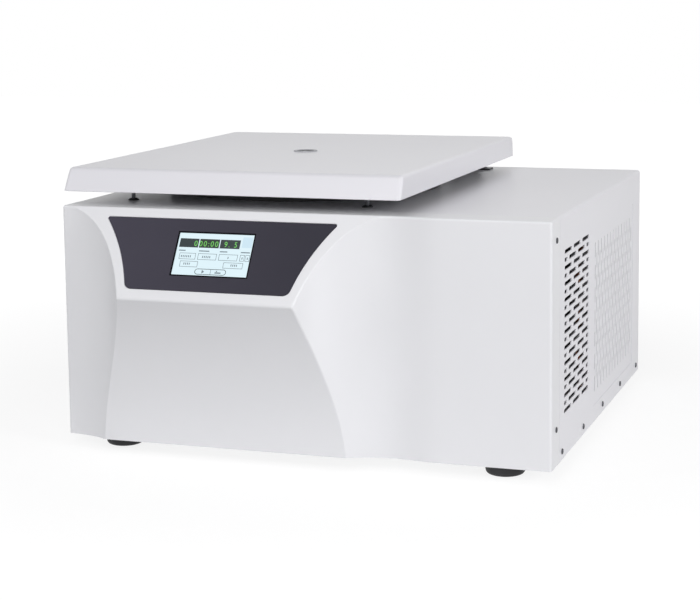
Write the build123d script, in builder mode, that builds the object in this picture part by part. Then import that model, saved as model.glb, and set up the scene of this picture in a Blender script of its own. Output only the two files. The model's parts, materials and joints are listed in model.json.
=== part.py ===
from build123d import *
import math
import os

os.makedirs("parts", exist_ok=True)

# A benchtop refrigerated cytocentrifuge. Origin on the surface it stands on, under the middle of its
# footprint box. +X is to the right of someone facing the console, +Y to the back, +Z up. Millimetres.

# Driving dimensions: the case
case_width = 620.0
case_height = 289.5
overall_depth = 630.0
foot_height = 15.0
nose = 60.7  # the console ridge stands this far in front of the flat part of the fascia
sheet = 1.5  # cover, lid and rear panel steel
pan_sheet = 2.0
clearance = 0.3  # between pieces that move past each other or are slid together

# Driving dimensions: the fascia
console_x = -94.5
console_tilt = 33.0  # of the console face, in degrees from vertical
console_drop = 101.2
wing_radius = 113.6
wing_dip = 5.0  # the hollow of each wing lies this far behind the flat front
apron_radius = 430.0
apron_lead = 10.5  # the foot of the apron stands this far in front of the flat front
flat_start_x = 175.0
fascia_depth = 40.7
fascia_wall = 3.0
seam_gap = 0.6

# Driving dimensions: the lid, the chamber and the swing rotor
lid_x = -90.5
lid_y = 28.2
lid_width = 438.0
lid_depth = 551.0
lid_height = 27.8
lid_gap = 18.0
lid_front_lean = 16.0
lid_side_lean = 1.0
bowl_radius = 166.0
bowl_depth = 160.0
gasket_radius = 181.5
swing_radius = 90.0  # from the spindle to each carrier's trunnion axis
carrier_drop = 44.0
carriers = 4
running = 0.05  # radial clearance of a shaft or pin in its bore
screw_radius = 2.0
screw_hole = screw_radius + 0.2

# Places worked out from them
half_width = case_width / 2
ridge_y = -overall_depth / 2
front_y = ridge_y + nose
rear_y = overall_depth / 2
seam_y = front_y + fascia_depth
case_z = foot_height
deck_z = case_z + case_height
deck_under = deck_z - sheet
lid_z = deck_z + lid_gap
lid_top = lid_z + lid_height
bowl_floor = deck_z - bowl_depth
pan_floor = case_z + pan_sheet
over = 5.0  # how far a cutting tool runs past the face it opens


def finish(block, name):
    """Label a finished piece and write its STEP file."""
    block.part.label = name
    export_step(block.part, f"parts/{name}.step")


def washer(inner, outer, low, high):
    """A washer or sleeve about the Z axis, from low to high; a disc where inner is 0."""
    with BuildPart(mode=Mode.PRIVATE) as piece:
        with BuildSketch(Plane.XY.offset(low)):
            Circle(outer)
            if inner:
                Circle(inner, mode=Mode.SUBTRACT)
        extrude(amount=high - low)
    return piece.part


def brick(x_span, y_span, z_span):
    """A rectangular block between two limits along each axis."""
    with BuildPart(mode=Mode.PRIVATE) as piece:
        with BuildSketch(Plane.XY.offset(z_span[0])):
            with Locations(((x_span[0] + x_span[1]) / 2, (y_span[0] + y_span[1]) / 2)):
                Rectangle(x_span[1] - x_span[0], y_span[1] - y_span[0])
        extrude(amount=z_span[1] - z_span[0])
    return piece.part


def turned(profile):
    """A solid of revolution about the Z axis from (radius, height) points."""
    with BuildPart(mode=Mode.PRIVATE) as piece:
        with BuildSketch(Plane.XZ):
            with BuildLine():
                Polyline(*profile, close=True)
            make_face()
        revolve(axis=Axis.Z)
    return piece.part


def pipe(points, radius, bend):
    """A round pipe, wire or rod along straight runs joined by arcs of one bend radius."""
    with BuildPart(mode=Mode.PRIVATE) as piece:
        with BuildLine() as route:
            FilletPolyline(*points, radius=bend)
        path = route.wires()[0]
        with BuildSketch(Plane(origin=path @ 0, z_dir=path % 0)) as section:
            Circle(radius)
        sweep(sections=section.sketch, path=path)
    return piece.part


# ---------------------------------------------------------------------------
# Front fascia: one moulding, with a leaning console, a hollow apron under it
# and a cylindrical hollow wing each side
# ---------------------------------------------------------------------------
wing_offset = half_width + console_x  # the left hollow ends at the case's left edge
console_face = Plane(
    origin=(console_x, front_y + wing_dip, deck_z),
    x_dir=(1, 0, 0),
    z_dir=(0, -math.cos(math.radians(console_tilt)), math.sin(math.radians(console_tilt))),
)


def fascia_form(skin):
    """The fascia's solid form, with its faces moved skin millimetres into the moulding."""
    radius = wing_radius + skin
    arc_y = front_y + wing_dip - wing_radius
    reach = math.sqrt(radius**2 - (ridge_y - arc_y) ** 2)
    tip = wing_offset - reach

    def hollow_y(run):
        return arc_y + math.sqrt(radius**2 - (wing_offset - run) ** 2)

    edge = wing_offset - skin
    back = seam_y + (over if skin else 0)
    low = case_z - (over if skin else 0)
    with BuildPart() as form:
        with BuildSketch(Plane.XY.offset(low)):
            with BuildLine():
                side = [(console_x - run, hollow_y(run)) for run in (edge, (edge + tip) / 2)]
                ThreePointArc(side[0], side[1], (console_x - tip, ridge_y))
                Line((console_x - tip, ridge_y), (console_x + tip, ridge_y))
                runs = ((wing_offset + tip) / 2, wing_offset)
                hollow = [(console_x + run, hollow_y(run)) for run in runs]
                ThreePointArc((console_x + tip, ridge_y), hollow[0], hollow[1])
                Spline(hollow[1], (flat_start_x, front_y + skin), tangents=[(1, 0), (1, 0)])
                Polyline(
                    (flat_start_x, front_y + skin),
                    (half_width - skin, front_y + skin),
                    (half_width - skin, back),
                    (-half_width + skin, back),
                    side[0],
                )
            make_face()
        extrude(amount=deck_z - skin - low)
        # what lies in front of the console and the apron is cut away
        tilt = math.radians(console_tilt)
        top_z = deck_z + 4 * over
        with BuildSketch(Plane.YZ.offset(console_x - wing_offset)):
            with BuildLine():
                top = (front_y + wing_dip + (top_z - deck_z) * math.tan(tilt), top_z)
                ridge = (front_y + wing_dip - console_drop * math.tan(tilt), deck_z - console_drop)
                foot = (front_y - apron_lead, case_z)
                Line(top, ridge)
                RadiusArc(ridge, foot, apron_radius)
                front = ridge_y - nose
                Polyline(foot, (foot[0], low - nose), (front, low - nose), (front, top_z), top)
            make_face()
            if skin:
                offset(amount=skin, kind=Kind.INTERSECTION)
        extrude(amount=2 * wing_offset, mode=Mode.SUBTRACT)
    return form.part


panel_top = 12.4  # down the slope from the console's top edge
panel_bottom = 107.1
panel_waist = -57.8
panel_half = (151.3, 122.4, 104.7)  # half widths at the head, the waist and the foot
panel_corners = (10.0, 2.5)  # radii at the foot and at the head
panel_recess = 1.6
panel_thickness = 1.2
screen_width = 96.5
screen_height = 55.0
screen_centre = (-0.4, -58.2)  # on the console face
screen_border = 3.0
fascia_screw_y = front_y + 23.5
fascia_screw_z = (case_z + 44.0, case_z + 265.0)


def panel_outline(shrink):
    """The console panel's outline, smaller by shrink all round: straight head and foot, sides bowed in."""
    half = [width - shrink for width in panel_half]
    top = -panel_top - shrink
    foot = -panel_bottom + shrink
    with BuildSketch(mode=Mode.PRIVATE) as outline:
        with BuildLine():
            Line((-half[0], top), (half[0], top))
            ThreePointArc((half[0], top), (half[1], panel_waist), (half[2], foot))
            Line((half[2], foot), (-half[2], foot))
            ThreePointArc((-half[2], foot), (-half[1], panel_waist), (-half[0], top))
        make_face()
        fillet(outline.vertices().group_by(Axis.Y)[0], panel_corners[0] - shrink)
        fillet(outline.vertices().group_by(Axis.Y)[-1], panel_corners[1] - shrink)
    return outline.sketch


outer_form = fascia_form(0)
inner_form = fascia_form(fascia_wall)
with BuildPart() as front_fascia:
    add(outer_form)
    add(inner_form, mode=Mode.SUBTRACT)
    with BuildSketch(console_face):
        add(panel_outline(0))
    extrude(amount=-panel_recess, mode=Mode.SUBTRACT)
    with BuildSketch(console_face):
        with Locations(screen_centre):
            Rectangle(screen_width + 2 * screen_border, screen_height + 2 * screen_border)
    extrude(amount=-4 * fascia_wall, mode=Mode.SUBTRACT)
    for height in fascia_screw_z:
        with Locations(Location((0, fascia_screw_y, height), (0, 90, 0))):
            Cylinder(screw_hole, case_width + over, mode=Mode.SUBTRACT)
finish(front_fascia, "front_fascia")

# Console panel: printed overlay laid in the fascia's recess, with the screen's window
with BuildPart() as console_panel:
    with BuildSketch(console_face.offset(-panel_recess)):
        add(panel_outline(clearance))
        with Locations(screen_centre):
            Rectangle(screen_width, screen_height, mode=Mode.SUBTRACT)
    extrude(amount=panel_thickness)
finish(console_panel, "console_panel")

# Touch screen: glass over a display module with its driver card, behind the panel's window
screen_depth = 8.0
card_depth = 5.0
card_inset = (3.0, 2.0)
with BuildPart() as touch_screen:
    with BuildSketch(console_face.offset(-panel_recess)):
        with Locations(screen_centre):
            Rectangle(
                screen_width + 2 * (screen_border - clearance),
                screen_height + 2 * (screen_border - clearance),
            )
    extrude(amount=-screen_depth)
    with BuildSketch(console_face.offset(-panel_recess - screen_depth)):
        with Locations(screen_centre):
            Rectangle(screen_width - 2 * card_inset[0], screen_height - 2 * card_inset[1])
    extrude(amount=-card_depth)
finish(touch_screen, "touch_screen")

# ---------------------------------------------------------------------------
# Base pan: a folded tray that carries everything, with three welded motor posts
# ---------------------------------------------------------------------------
pan_half = half_width - fascia_wall - 0.2  # the fascia's returns and the cover's sides close round it
pan_front = front_y + 12.0
pan_rear = rear_y - 4.2
pan_flange = 24.0
foot_x = 247.0
foot_y = (front_y + 35.0, front_y + 535.0)
foot_places = [(x, y) for x in (-foot_x, foot_x) for y in foot_y]
posts = 3
post_start = 30.0  # degrees
post_ring = 74.0
post_radius = 9.0
post_top = 60.0
post_tapping = (3.0, 20.0)  # radius and depth of the tapped hole
vent_slot = (40.0, 5.0)
vent_pitch = (14.0, 60.0)
vent_count = (5, 2)
foot_bore = 2.7
cover_screw_y = [front_y + 55.7 + 123.2 * k for k in range(5)]
cover_screw_z = case_z + 10.4
rear_screw_x = (-290.0, -97.0, 97.0, 290.0)
low_screw_z = case_z + 13.0
with BuildPart() as base_pan:
    add(brick((-pan_half, pan_half), (pan_front, pan_rear), (case_z, case_z + pan_flange)))
    add(
        brick(
            (-pan_half + pan_sheet, pan_half - pan_sheet),
            (pan_front + pan_sheet, pan_rear - pan_sheet),
            (pan_floor, case_z + pan_flange + over),
        ),
        mode=Mode.SUBTRACT,
    )
    with Locations((lid_x, lid_y, 0)):
        with PolarLocations(post_ring, posts, start_angle=post_start):
            add(washer(0, post_radius, pan_floor, post_top))
            add(washer(0, post_tapping[0], post_top - post_tapping[1], post_top + over), mode=Mode.SUBTRACT)
    with BuildSketch(Plane.XY.offset(case_z)):
        with Locations((lid_x, lid_y)):
            with GridLocations(*vent_pitch, *vent_count):
                SlotOverall(*vent_slot, rotation=90)
    extrude(amount=pan_sheet, mode=Mode.SUBTRACT)
    with Locations(*foot_places):
        add(washer(0, foot_bore, case_z - over, pan_floor + over), mode=Mode.SUBTRACT)
    for y in cover_screw_y:
        with Locations(Location((0, y, cover_screw_z), (0, 90, 0))):
            Cylinder(screw_hole, case_width, mode=Mode.SUBTRACT)
    with Locations(*[Location((x, pan_rear, low_screw_z), (90, 0, 0)) for x in rear_screw_x]):
        Cylinder(screw_hole, 2 * over, mode=Mode.SUBTRACT)
finish(base_pan, "base_pan")

# Feet: four turned rubber feet, each held by a screw sunk in its middle
foot_radius = 24.5
foot_well = (7.0, 6.0)  # radius and height of the hollow that takes the screw's head
# (radius, height) of its rounded foot
foot_dish = [(14.5, 0.0), (20.0, 1.5), (23.4, 4.6), (foot_radius, 9.0)]
with BuildPart() as feet:
    with Locations(*foot_places):
        add(
            turned(
                [
                    (foot_bore, foot_well[1]),
                    foot_well,
                    (foot_well[0], 0),
                    *foot_dish,
                    (foot_radius, case_z),
                    (foot_bore, case_z),
                ]
            )
        )
finish(feet, "feet")

foot_screw_head = (4.5, 3.0)  # radius and thickness
foot_screw_shank = (2.5, 18.0)  # radius and length
with BuildPart() as foot_screws:
    with Locations(*foot_places):
        seat = foot_well[1]
        add(washer(0, foot_screw_head[0], seat - foot_screw_head[1], seat))
        add(washer(0, foot_screw_shank[0], seat, seat + foot_screw_shank[1]))
finish(foot_screws, "foot_screws")

# ---------------------------------------------------------------------------
# Cabinet cover: one folded steel sheet, deck and both sides, with a chamber
# opening, two latch holes, and two arrays of punched air slots in its right side
# ---------------------------------------------------------------------------
cover_front = seam_y + seam_gap
bend = 4.0
latch_reach = 156.0
latch_y = front_y + 76.0
latch_places = [(lid_x - latch_reach, latch_y), (lid_x + latch_reach, latch_y)]
latch_hole = 5.5
slot_long = 40.0
slot_wide = 3.6
slot_gap = 8.5
intake_wide = 4.6
intake_gap = 10.4
intake_rows = 21
intake_rise = 9.5
intake_middle = (front_y + 137.4, case_z + 150.0)
intake_half = 70.4
grille_y = (front_y + 237.0, front_y + 516.0)
grille_z = (case_z + 21.0, case_z + 248.0)
grille_recess = 0.7
grille_corner = 3.0
grille_slot = 20.2
grille_tiers = 7
grille_rise = 28.7
grille_pitch = 10.0
grille_columns = 26
with BuildPart() as cabinet_cover:
    add(brick((-half_width, half_width), (cover_front, rear_y), (case_z, deck_z)))
    long_edges = cabinet_cover.edges().filter_by(Axis.Y).group_by(Axis.Z)[-1]
    fillet(long_edges, bend)
    with BuildSketch(Plane.XZ.offset(-rear_y - over)):
        with Locations((0, (case_z - over + deck_under) / 2)):
            RectangleRounded(case_width - 2 * sheet, deck_under - case_z + over, bend - sheet)
        with Locations((0, case_z)):
            Rectangle(case_width - 2 * sheet, 4 * over)
    extrude(amount=overall_depth, mode=Mode.SUBTRACT)
    with Locations((lid_x, lid_y, 0)):
        add(washer(0, bowl_radius + 2, deck_under - over, deck_z + over), mode=Mode.SUBTRACT)
    with Locations(*latch_places):
        add(washer(0, latch_hole, deck_under - over, deck_z + over), mode=Mode.SUBTRACT)
    with BuildSketch(Plane.YZ.offset(half_width)):
        with Locations(((grille_y[0] + grille_y[1]) / 2, (grille_z[0] + grille_z[1]) / 2)):
            RectangleRounded(grille_y[1] - grille_y[0], grille_z[1] - grille_z[0], grille_corner)
    extrude(amount=-grille_recess, mode=Mode.SUBTRACT)
    with BuildSketch(Plane.YZ.offset(half_width)):
        for row in range(intake_rows):
            height = intake_middle[1] + intake_rise * (row - (intake_rows - 1) / 2)
            step = slot_long + intake_gap
            if row % 2 == 0:
                with Locations(*[(intake_middle[0] + step * k, height) for k in (-1, 0, 1)]):
                    SlotOverall(slot_long, intake_wide)
            else:
                with Locations(*[(intake_middle[0] + step * k, height) for k in (-0.5, 0.5)]):
                    SlotOverall(slot_long, intake_wide)
                short = intake_half - step - intake_gap / 2
                shift = intake_half - short / 2
                with Locations((intake_middle[0] - shift, height), (intake_middle[0] + shift, height)):
                    SlotOverall(short, intake_wide)
        middle_y = (grille_y[0] + grille_y[1]) / 2
        middle_z = (grille_z[0] + grille_z[1]) / 2
        for column in range(grille_columns):
            tiers = grille_tiers - column % 2
            across = middle_y + grille_pitch * (column - (grille_columns - 1) / 2)
            heights = [middle_z + grille_rise * (k - (tiers - 1) / 2) for k in range(tiers)]
            with Locations(*[(across, height) for height in heights]):
                SlotOverall(grille_slot, slot_wide, rotation=90)
    extrude(amount=-2 * sheet, mode=Mode.SUBTRACT)
    for y in cover_screw_y:
        with Locations(Location((0, y, cover_screw_z), (0, 90, 0))):
            Cylinder(screw_hole, case_width + over, mode=Mode.SUBTRACT)
finish(cabinet_cover, "cabinet_cover")

# ---------------------------------------------------------------------------
# Rear panel: folded sheet inside the cover's rear edge, with warm-air slots
# and the cut-out for the power entry
# ---------------------------------------------------------------------------
rear_face = rear_y - 2.2
rear_half = half_width - sheet - clearance
rear_flange = 12.0
entry_centre = (262.0, case_z + 85.0)
entry_size = (48.0, 72.0)
outlet_slots = (6, 8)
outlet_rise = 11.0
outlet_z = case_z + 205.0
rear_screws = [(x, z) for x in rear_screw_x for z in (low_screw_z, deck_z - 14.0)]
with BuildPart() as rear_panel:
    tall = (case_z + 1, deck_under - clearance)
    add(brick((-rear_half, rear_half), (rear_face - rear_flange, rear_face), tall))
    fillet(rear_panel.edges().filter_by(Axis.Y).group_by(Axis.Z)[-1], bend)
    add(
        brick(
            (-rear_half + sheet, rear_half - sheet),
            (rear_face - rear_flange - over, rear_face - sheet),
            (case_z - over, deck_under - clearance - sheet),
        ),
        mode=Mode.SUBTRACT,
    )
    with BuildSketch(Plane.XZ.offset(-rear_face)):
        with Locations((lid_x, outlet_z)):
            with GridLocations(slot_long + slot_gap, outlet_rise, *outlet_slots):
                SlotOverall(slot_long, slot_wide)
        with Locations(entry_centre):
            Rectangle(entry_size[0] + 2 * clearance, entry_size[1] + 2 * clearance)
        with Locations(*rear_screws):
            Circle(screw_hole)
    extrude(amount=2 * sheet, mode=Mode.SUBTRACT)
    # the side flanges stop above the pan's wall
    for side in (-1, 1):
        near, far = sorted((side * (rear_half + over), side * (rear_half - 4)))
        add(
            brick(
                (near, far),
                (rear_face - rear_flange - over, rear_face - sheet),
                (case_z, case_z + pan_flange + 1),
            ),
            mode=Mode.SUBTRACT,
        )
finish(rear_panel, "rear_panel")

# Case screws: pan heads with a cross recess, along both sides, on the fascia's returns and at the back
head_radius = 3.6
head_height = 1.6
head_cross = (3.6, 0.8)  # length and width of each arm of the recess
screw_length = 7.0


def pan_screw():
    """One pan-head screw, its shank along -Z from a seat at Z 0."""
    with BuildPart(mode=Mode.PRIVATE) as screw:
        with Locations((0, 0, head_height / 2)):
            Cylinder(head_radius, head_height)
        fillet(screw.edges().group_by(Axis.Z)[-1], head_height * 0.6)
        with Locations((0, 0, -screw_length / 2)):
            Cylinder(screw_radius, screw_length)
        with Locations((0, 0, head_height)):
            Box(head_cross[0], head_cross[1], head_height, mode=Mode.SUBTRACT)
            Box(head_cross[1], head_cross[0], head_height, mode=Mode.SUBTRACT)
    return screw.part


case_screw = pan_screw()
side_screws = [(y, cover_screw_z) for y in cover_screw_y] + [(fascia_screw_y, z) for z in fascia_screw_z]
with BuildPart() as case_screws:
    for side in (-1, 1):
        with Locations(*[Location((side * half_width, y, z), (0, side * 90, 0)) for y, z in side_screws]):
            add(case_screw)
    with Locations(*[Location((x, rear_face, z), (-90, 0, 0)) for x, z in rear_screws]):
        add(case_screw)
finish(case_screws, "case_screws")

# ---------------------------------------------------------------------------
# Chamber: pressed stainless bowl hung under the deck, copper coil round it,
# foam jacket, steel guard ring, and the lid's gasket on the deck
# ---------------------------------------------------------------------------
spindle = (lid_x, lid_y, 0)
bowl_sheet = 1.2
bowl_corner = 20.0
bowl_outer = bowl_radius + bowl_sheet
bowl_hole = 44.0
flange_top = deck_under - 0.1
flange_radius = 182.0
with BuildPart() as chamber_bowl:
    with Locations(spindle):
        add(washer(0, bowl_outer, bowl_floor - bowl_sheet, flange_top))
    fillet(chamber_bowl.edges().group_by(Axis.Z)[0], bowl_corner + bowl_sheet)
    with Locations(spindle):
        add(washer(0, flange_radius, flange_top - bowl_sheet, flange_top))
    with BuildPart(mode=Mode.PRIVATE) as bowl_space:
        with Locations(spindle):
            add(washer(0, bowl_radius, bowl_floor, deck_z))
        fillet(bowl_space.edges().group_by(Axis.Z)[0], bowl_corner)
    add(bowl_space.part, mode=Mode.SUBTRACT)
    with Locations(spindle):
        add(washer(0, bowl_hole, bowl_floor - over, bowl_floor + over), mode=Mode.SUBTRACT)
finish(chamber_bowl, "chamber_bowl")

foam_radius = 204.0
foam_bottom = bowl_floor - 17.5
coil_pipe = 4.0
coil_radius = bowl_outer + coil_pipe + clearance
coil_turns = 11
coil_rise = 12.0
coil_start = bowl_floor + 18.5
pipe_heights = (coil_start, coil_start + coil_rise * (coil_turns - 1))
pipe_hole = 7.0
foam_hole = 52.0
foam_top = flange_top - 1.9
foam_fit = 0.6  # between the foam and the bowl
coil_room = (coil_radius + coil_pipe + 1, coil_start - coil_pipe - 3)  # the groove's radius and its low end
with BuildPart() as foam_jacket:
    with Locations(spindle):
        add(
            turned(
                [
                    (foam_hole, foam_bottom),
                    (foam_radius, foam_bottom),
                    (foam_radius, foam_top),
                    (coil_room[0], foam_top),
                    coil_room,
                    (bowl_outer + foam_fit, coil_room[1]),
                    (bowl_outer + foam_fit, bowl_floor - bowl_sheet - foam_fit),
                    (foam_hole, bowl_floor - bowl_sheet - foam_fit),
                ]
            )
        )
    for height in pipe_heights:
        with Locations(Location((lid_x + foam_radius, lid_y, height), (0, 90, 0))):
            Cylinder(pipe_hole, 2 * (foam_radius - coil_radius), mode=Mode.SUBTRACT)
finish(foam_jacket, "foam_jacket")

guard_wall = 5.0
guard_inner = foam_radius + 1
guard_outer = guard_inner + guard_wall
with BuildPart() as guard_ring:
    with Locations(spindle):
        add(washer(guard_inner, guard_outer, pan_floor, foam_top - 0.1))
    for height in pipe_heights:
        with Locations(Location((lid_x + guard_outer, lid_y, height), (0, 90, 0))):
            Cylinder(pipe_hole, 4 * over, mode=Mode.SUBTRACT)
finish(guard_ring, "guard_ring")

gasket_top = lid_z - clearance
gasket_inner = bowl_radius + 3.5
# depth, height above the deck and half width of the groove that lets it give
gasket_groove = (2.0, 6.5, 1.5)
gasket_shoulder = 3.0
with BuildPart() as chamber_gasket:
    with Locations(spindle):
        add(
            turned(
                [
                    (gasket_inner, deck_z),
                    (gasket_radius, deck_z),
                    (gasket_radius, deck_z + gasket_groove[1] - gasket_groove[2]),
                    (gasket_radius - gasket_groove[0], deck_z + gasket_groove[1]),
                    (gasket_radius, deck_z + gasket_groove[1] + gasket_groove[2]),
                    (gasket_radius, gasket_top - gasket_shoulder),
                    (gasket_radius - gasket_shoulder, gasket_top),
                    (gasket_inner + gasket_shoulder, gasket_top),
                    (gasket_inner, gasket_top - gasket_shoulder),
                ]
            )
        )
finish(chamber_gasket, "chamber_gasket")

# ---------------------------------------------------------------------------
# Drive: motor hung in a plate on three rubber mounts, under the bowl
# ---------------------------------------------------------------------------
mount_low = post_top
mount_high = 78.0
mount_plate = 5.0
mount_radius = 12.0
mount_waist = 9.5
mount_rim = 4.0
plate_radius = 92.0
plate_bolt = 3.2
motor_radius = 52.0
motor_wall = 5.0
motor_bottom = 24.0
motor_top = bowl_floor - 29.5
boss_top = bowl_floor - 19.5
shaft_radius = 9.0
bearing_radius = 16.0
bearing_seat = 3.0  # metal left under the lower bearing
bearing_width = 10.0
with BuildPart() as motor_mounts:
    with Locations(spindle):
        with PolarLocations(post_ring, posts, start_angle=post_start):
            add(
                turned(
                    [
                        (0, mount_low),
                        (mount_radius, mount_low),
                        (mount_radius, mount_low + mount_rim),
                        (mount_waist, (mount_low + mount_high) / 2),
                        (mount_radius, mount_high - mount_rim),
                        (mount_radius, mount_high),
                        (0, mount_high),
                    ]
                )
            )
finish(motor_mounts, "motor_mounts")

with BuildPart() as motor_plate:
    with Locations(spindle):
        add(washer(motor_radius + 1, plate_radius, mount_high, mount_high + mount_plate))
        with PolarLocations(post_ring, posts, start_angle=post_start):
            add(washer(0, plate_bolt, mount_high - over, mount_high + 2 * over), mode=Mode.SUBTRACT)
finish(motor_plate, "motor_plate")

plate_top = mount_high + mount_plate
motor_flange = 66.0
motor_shoulder = 6.0
top_boss = 24.0
low_boss = 22.0
low_boss_height = 14.0
motor_ribs = 24
rib_size = (2.5, 2.4)  # how far each cooling rib stands out, and its thickness
with BuildPart() as motor_housing:
    with Locations(spindle):
        add(
            turned(
                [
                    (shaft_radius + 1, motor_bottom),
                    (motor_radius, motor_bottom),
                    (motor_radius, plate_top),
                    (motor_flange, plate_top),
                    (motor_flange, plate_top + mount_plate),
                    (motor_radius, plate_top + mount_plate),
                    (motor_radius, motor_top - motor_shoulder),
                    (motor_radius - motor_shoulder, motor_top),
                    (top_boss, motor_top),
                    (top_boss, boss_top),
                    (bearing_radius, boss_top),
                    (bearing_radius, motor_top - motor_wall),
                    (motor_radius - motor_wall, motor_top - motor_wall),
                    (motor_radius - motor_wall, motor_bottom + motor_wall),
                    (low_boss, motor_bottom + motor_wall),
                    (low_boss, motor_bottom + low_boss_height),
                    (bearing_radius, motor_bottom + low_boss_height),
                    (bearing_radius, motor_bottom + bearing_seat),
                    (shaft_radius + 1, motor_bottom + bearing_seat),
                ]
            )
        )
        with PolarLocations(motor_radius, motor_ribs):
            tall = (motor_bottom + 12, plate_top - 8)
            add(brick((-0.5, rib_size[0]), (-rib_size[1] / 2, rib_size[1] / 2), tall))
finish(motor_housing, "motor_housing")

core_radius = 29.0
core_low = 44.0
core_high = 92.0
air_gap = 0.8
stator_overhang = 4.0
windings = 12
winding_ring = 38.0
winding_radius = 4.0
with BuildPart() as motor_stator:
    with Locations(spindle):
        stack = (core_low - stator_overhang, core_high + stator_overhang)
        add(washer(core_radius + air_gap, motor_radius - motor_wall - 0.1, *stack))
        with PolarLocations(winding_ring, windings):
            add(washer(0, winding_radius, core_high, core_high + 10))
finish(motor_stator, "motor_stator")

bearing_low = (motor_bottom + bearing_seat, motor_bottom + bearing_seat + bearing_width)
bearing_high = (boss_top - bearing_width - 2, boss_top - 1)
with BuildPart() as motor_bearings:
    with Locations(spindle):
        for low, high in (bearing_low, bearing_high):
            add(washer(shaft_radius + running, bearing_radius - 0.02, low, high))
finish(motor_bearings, "motor_bearings")

# Armature: spindle with its laminated core, a cone for the rotor and a thread for the knob
cone_low = bowl_floor + 45
cone_high = bowl_floor + 92
rotor_low = bowl_floor + 78
rotor_high = bowl_floor + 102
axis_z = (rotor_low + rotor_high) / 2
thread_radius = 5.0
thread_top = rotor_high + 14
shaft_low = motor_bottom + 4
cone_radius = (12.0, 9.0)  # at its foot and at its tip
collar_radius = 14.0
collar_height = 8.0
with BuildPart() as motor_armature:
    with Locations(spindle):
        add(
            turned(
                [
                    (0, shaft_low),
                    (shaft_radius, shaft_low),
                    (shaft_radius, core_low),
                    (core_radius, core_low),
                    (core_radius, core_high),
                    (shaft_radius, core_high),
                    (shaft_radius, cone_low - collar_height),
                    (collar_radius, cone_low - collar_height),
                    (collar_radius, cone_low),
                    (cone_radius[0], cone_low),
                    (cone_radius[1], cone_high),
                    (thread_radius, cone_high),
                    (thread_radius, thread_top),
                    (0, thread_top),
                ]
            )
        )
finish(motor_armature, "motor_armature")

# Shaft boot: thin rubber bellows that closes the bowl's floor round the motor's boss
boot_grip = (24.1, 26.0)  # inner and outer radius of its sleeve on the boss
boot_step = (33.0, 34.0)
boot_mouth = (41.2, 43.0)
boot_flange = 51.0
boot_wall = 2.0
with BuildPart() as shaft_boot:
    with Locations(spindle):
        add(
            turned(
                [
                    (boot_grip[0], motor_top + 0.5),
                    (boot_grip[1], motor_top + 0.5),
                    (boot_grip[1], boss_top),
                    (boot_step[1], bowl_floor - 3 * boot_wall),
                    (boot_mouth[1], bowl_floor - 2 * boot_wall),
                    (boot_mouth[1], bowl_floor),
                    (boot_flange, bowl_floor),
                    (boot_flange, bowl_floor + boot_wall),
                    (boot_mouth[0], bowl_floor + boot_wall),
                    (boot_mouth[0], bowl_floor - 1.3 * boot_wall),
                    (boot_step[0], bowl_floor - 2 * boot_wall),
                    (boot_grip[0], boss_top + 1),
                ]
            )
        )
finish(shaft_boot, "shaft_boot")

# ---------------------------------------------------------------------------
# Swing rotor: milled cross with four bays, each with a pair of trunnion pins
# ---------------------------------------------------------------------------
rotor_radius = 128.0
bay_half = 43.5
bay_start = 56.0
pin_radius = 5.0
pin_end = 36.5
hub_radius = 22.0
rotor_edge = 5.0
bay_corner = 3.0
cone_fit = (0.45, 0.15)  # of the rotor's bore on the spindle's cone, at its foot and at its tip
quarter = 360 / carriers
with BuildPart() as rotor_head:
    with Locations(spindle):
        add(washer(0, rotor_radius, rotor_low, rotor_high))
    fillet(rotor_head.edges().group_by(Axis.Z)[-1], rotor_edge)
    with Locations(spindle):
        with PolarLocations(0, carriers):
            add(
                brick(
                    (bay_start, rotor_radius + over),
                    (-bay_half, bay_half),
                    (rotor_low - over, rotor_high + over),
                ),
                mode=Mode.SUBTRACT,
            )
    corners = rotor_head.edges().filter_by(Axis.Z)
    nearest = corners.group_by(lambda edge: round(math.dist(tuple(edge.center())[:2], spindle[:2]), 1))[0]
    fillet(nearest, bay_corner)
    with Locations(spindle):
        add(washer(0, hub_radius, cone_low + 3, rotor_low))
        with PolarLocations(0, carriers):
            with Locations(
                *[
                    Location((swing_radius, side * (bay_half + pin_end) / 2, axis_z), (90, 0, 0))
                    for side in (-1, 1)
                ]
            ):
                Cylinder(pin_radius, bay_half - pin_end + 2)
    with Locations(spindle):
        bore = [cone_radius[k] + cone_fit[k] for k in (0, 1)]
        bore_top = cone_high + 0.2
        add(
            turned([(0, cone_low - over), (bore[0], cone_low - over), (bore[1], bore_top), (0, bore_top)]),
            mode=Mode.SUBTRACT,
        )
        add(washer(0, thread_radius + 0.3, cone_high, rotor_high + over), mode=Mode.SUBTRACT)
finish(rotor_head, "rotor_head")

knob_radius = 15.0
knob_top = rotor_high + 18
knob_flutes = 12
flute_radius = 2.4
with BuildPart() as rotor_knob:
    with Locations(spindle):
        add(washer(thread_radius + 0.1, knob_radius, rotor_high, knob_top))
        with PolarLocations(knob_radius + flute_radius / 2, knob_flutes):
            add(washer(0, flute_radius, rotor_high - over, knob_top + over), mode=Mode.SUBTRACT)
        add(washer(0, thread_radius + 4, thread_top + 1, knob_top))
    fillet(rotor_knob.faces().sort_by(Axis.Z)[-1].edges(), 1.0)
finish(rotor_knob, "rotor_knob")

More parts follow.
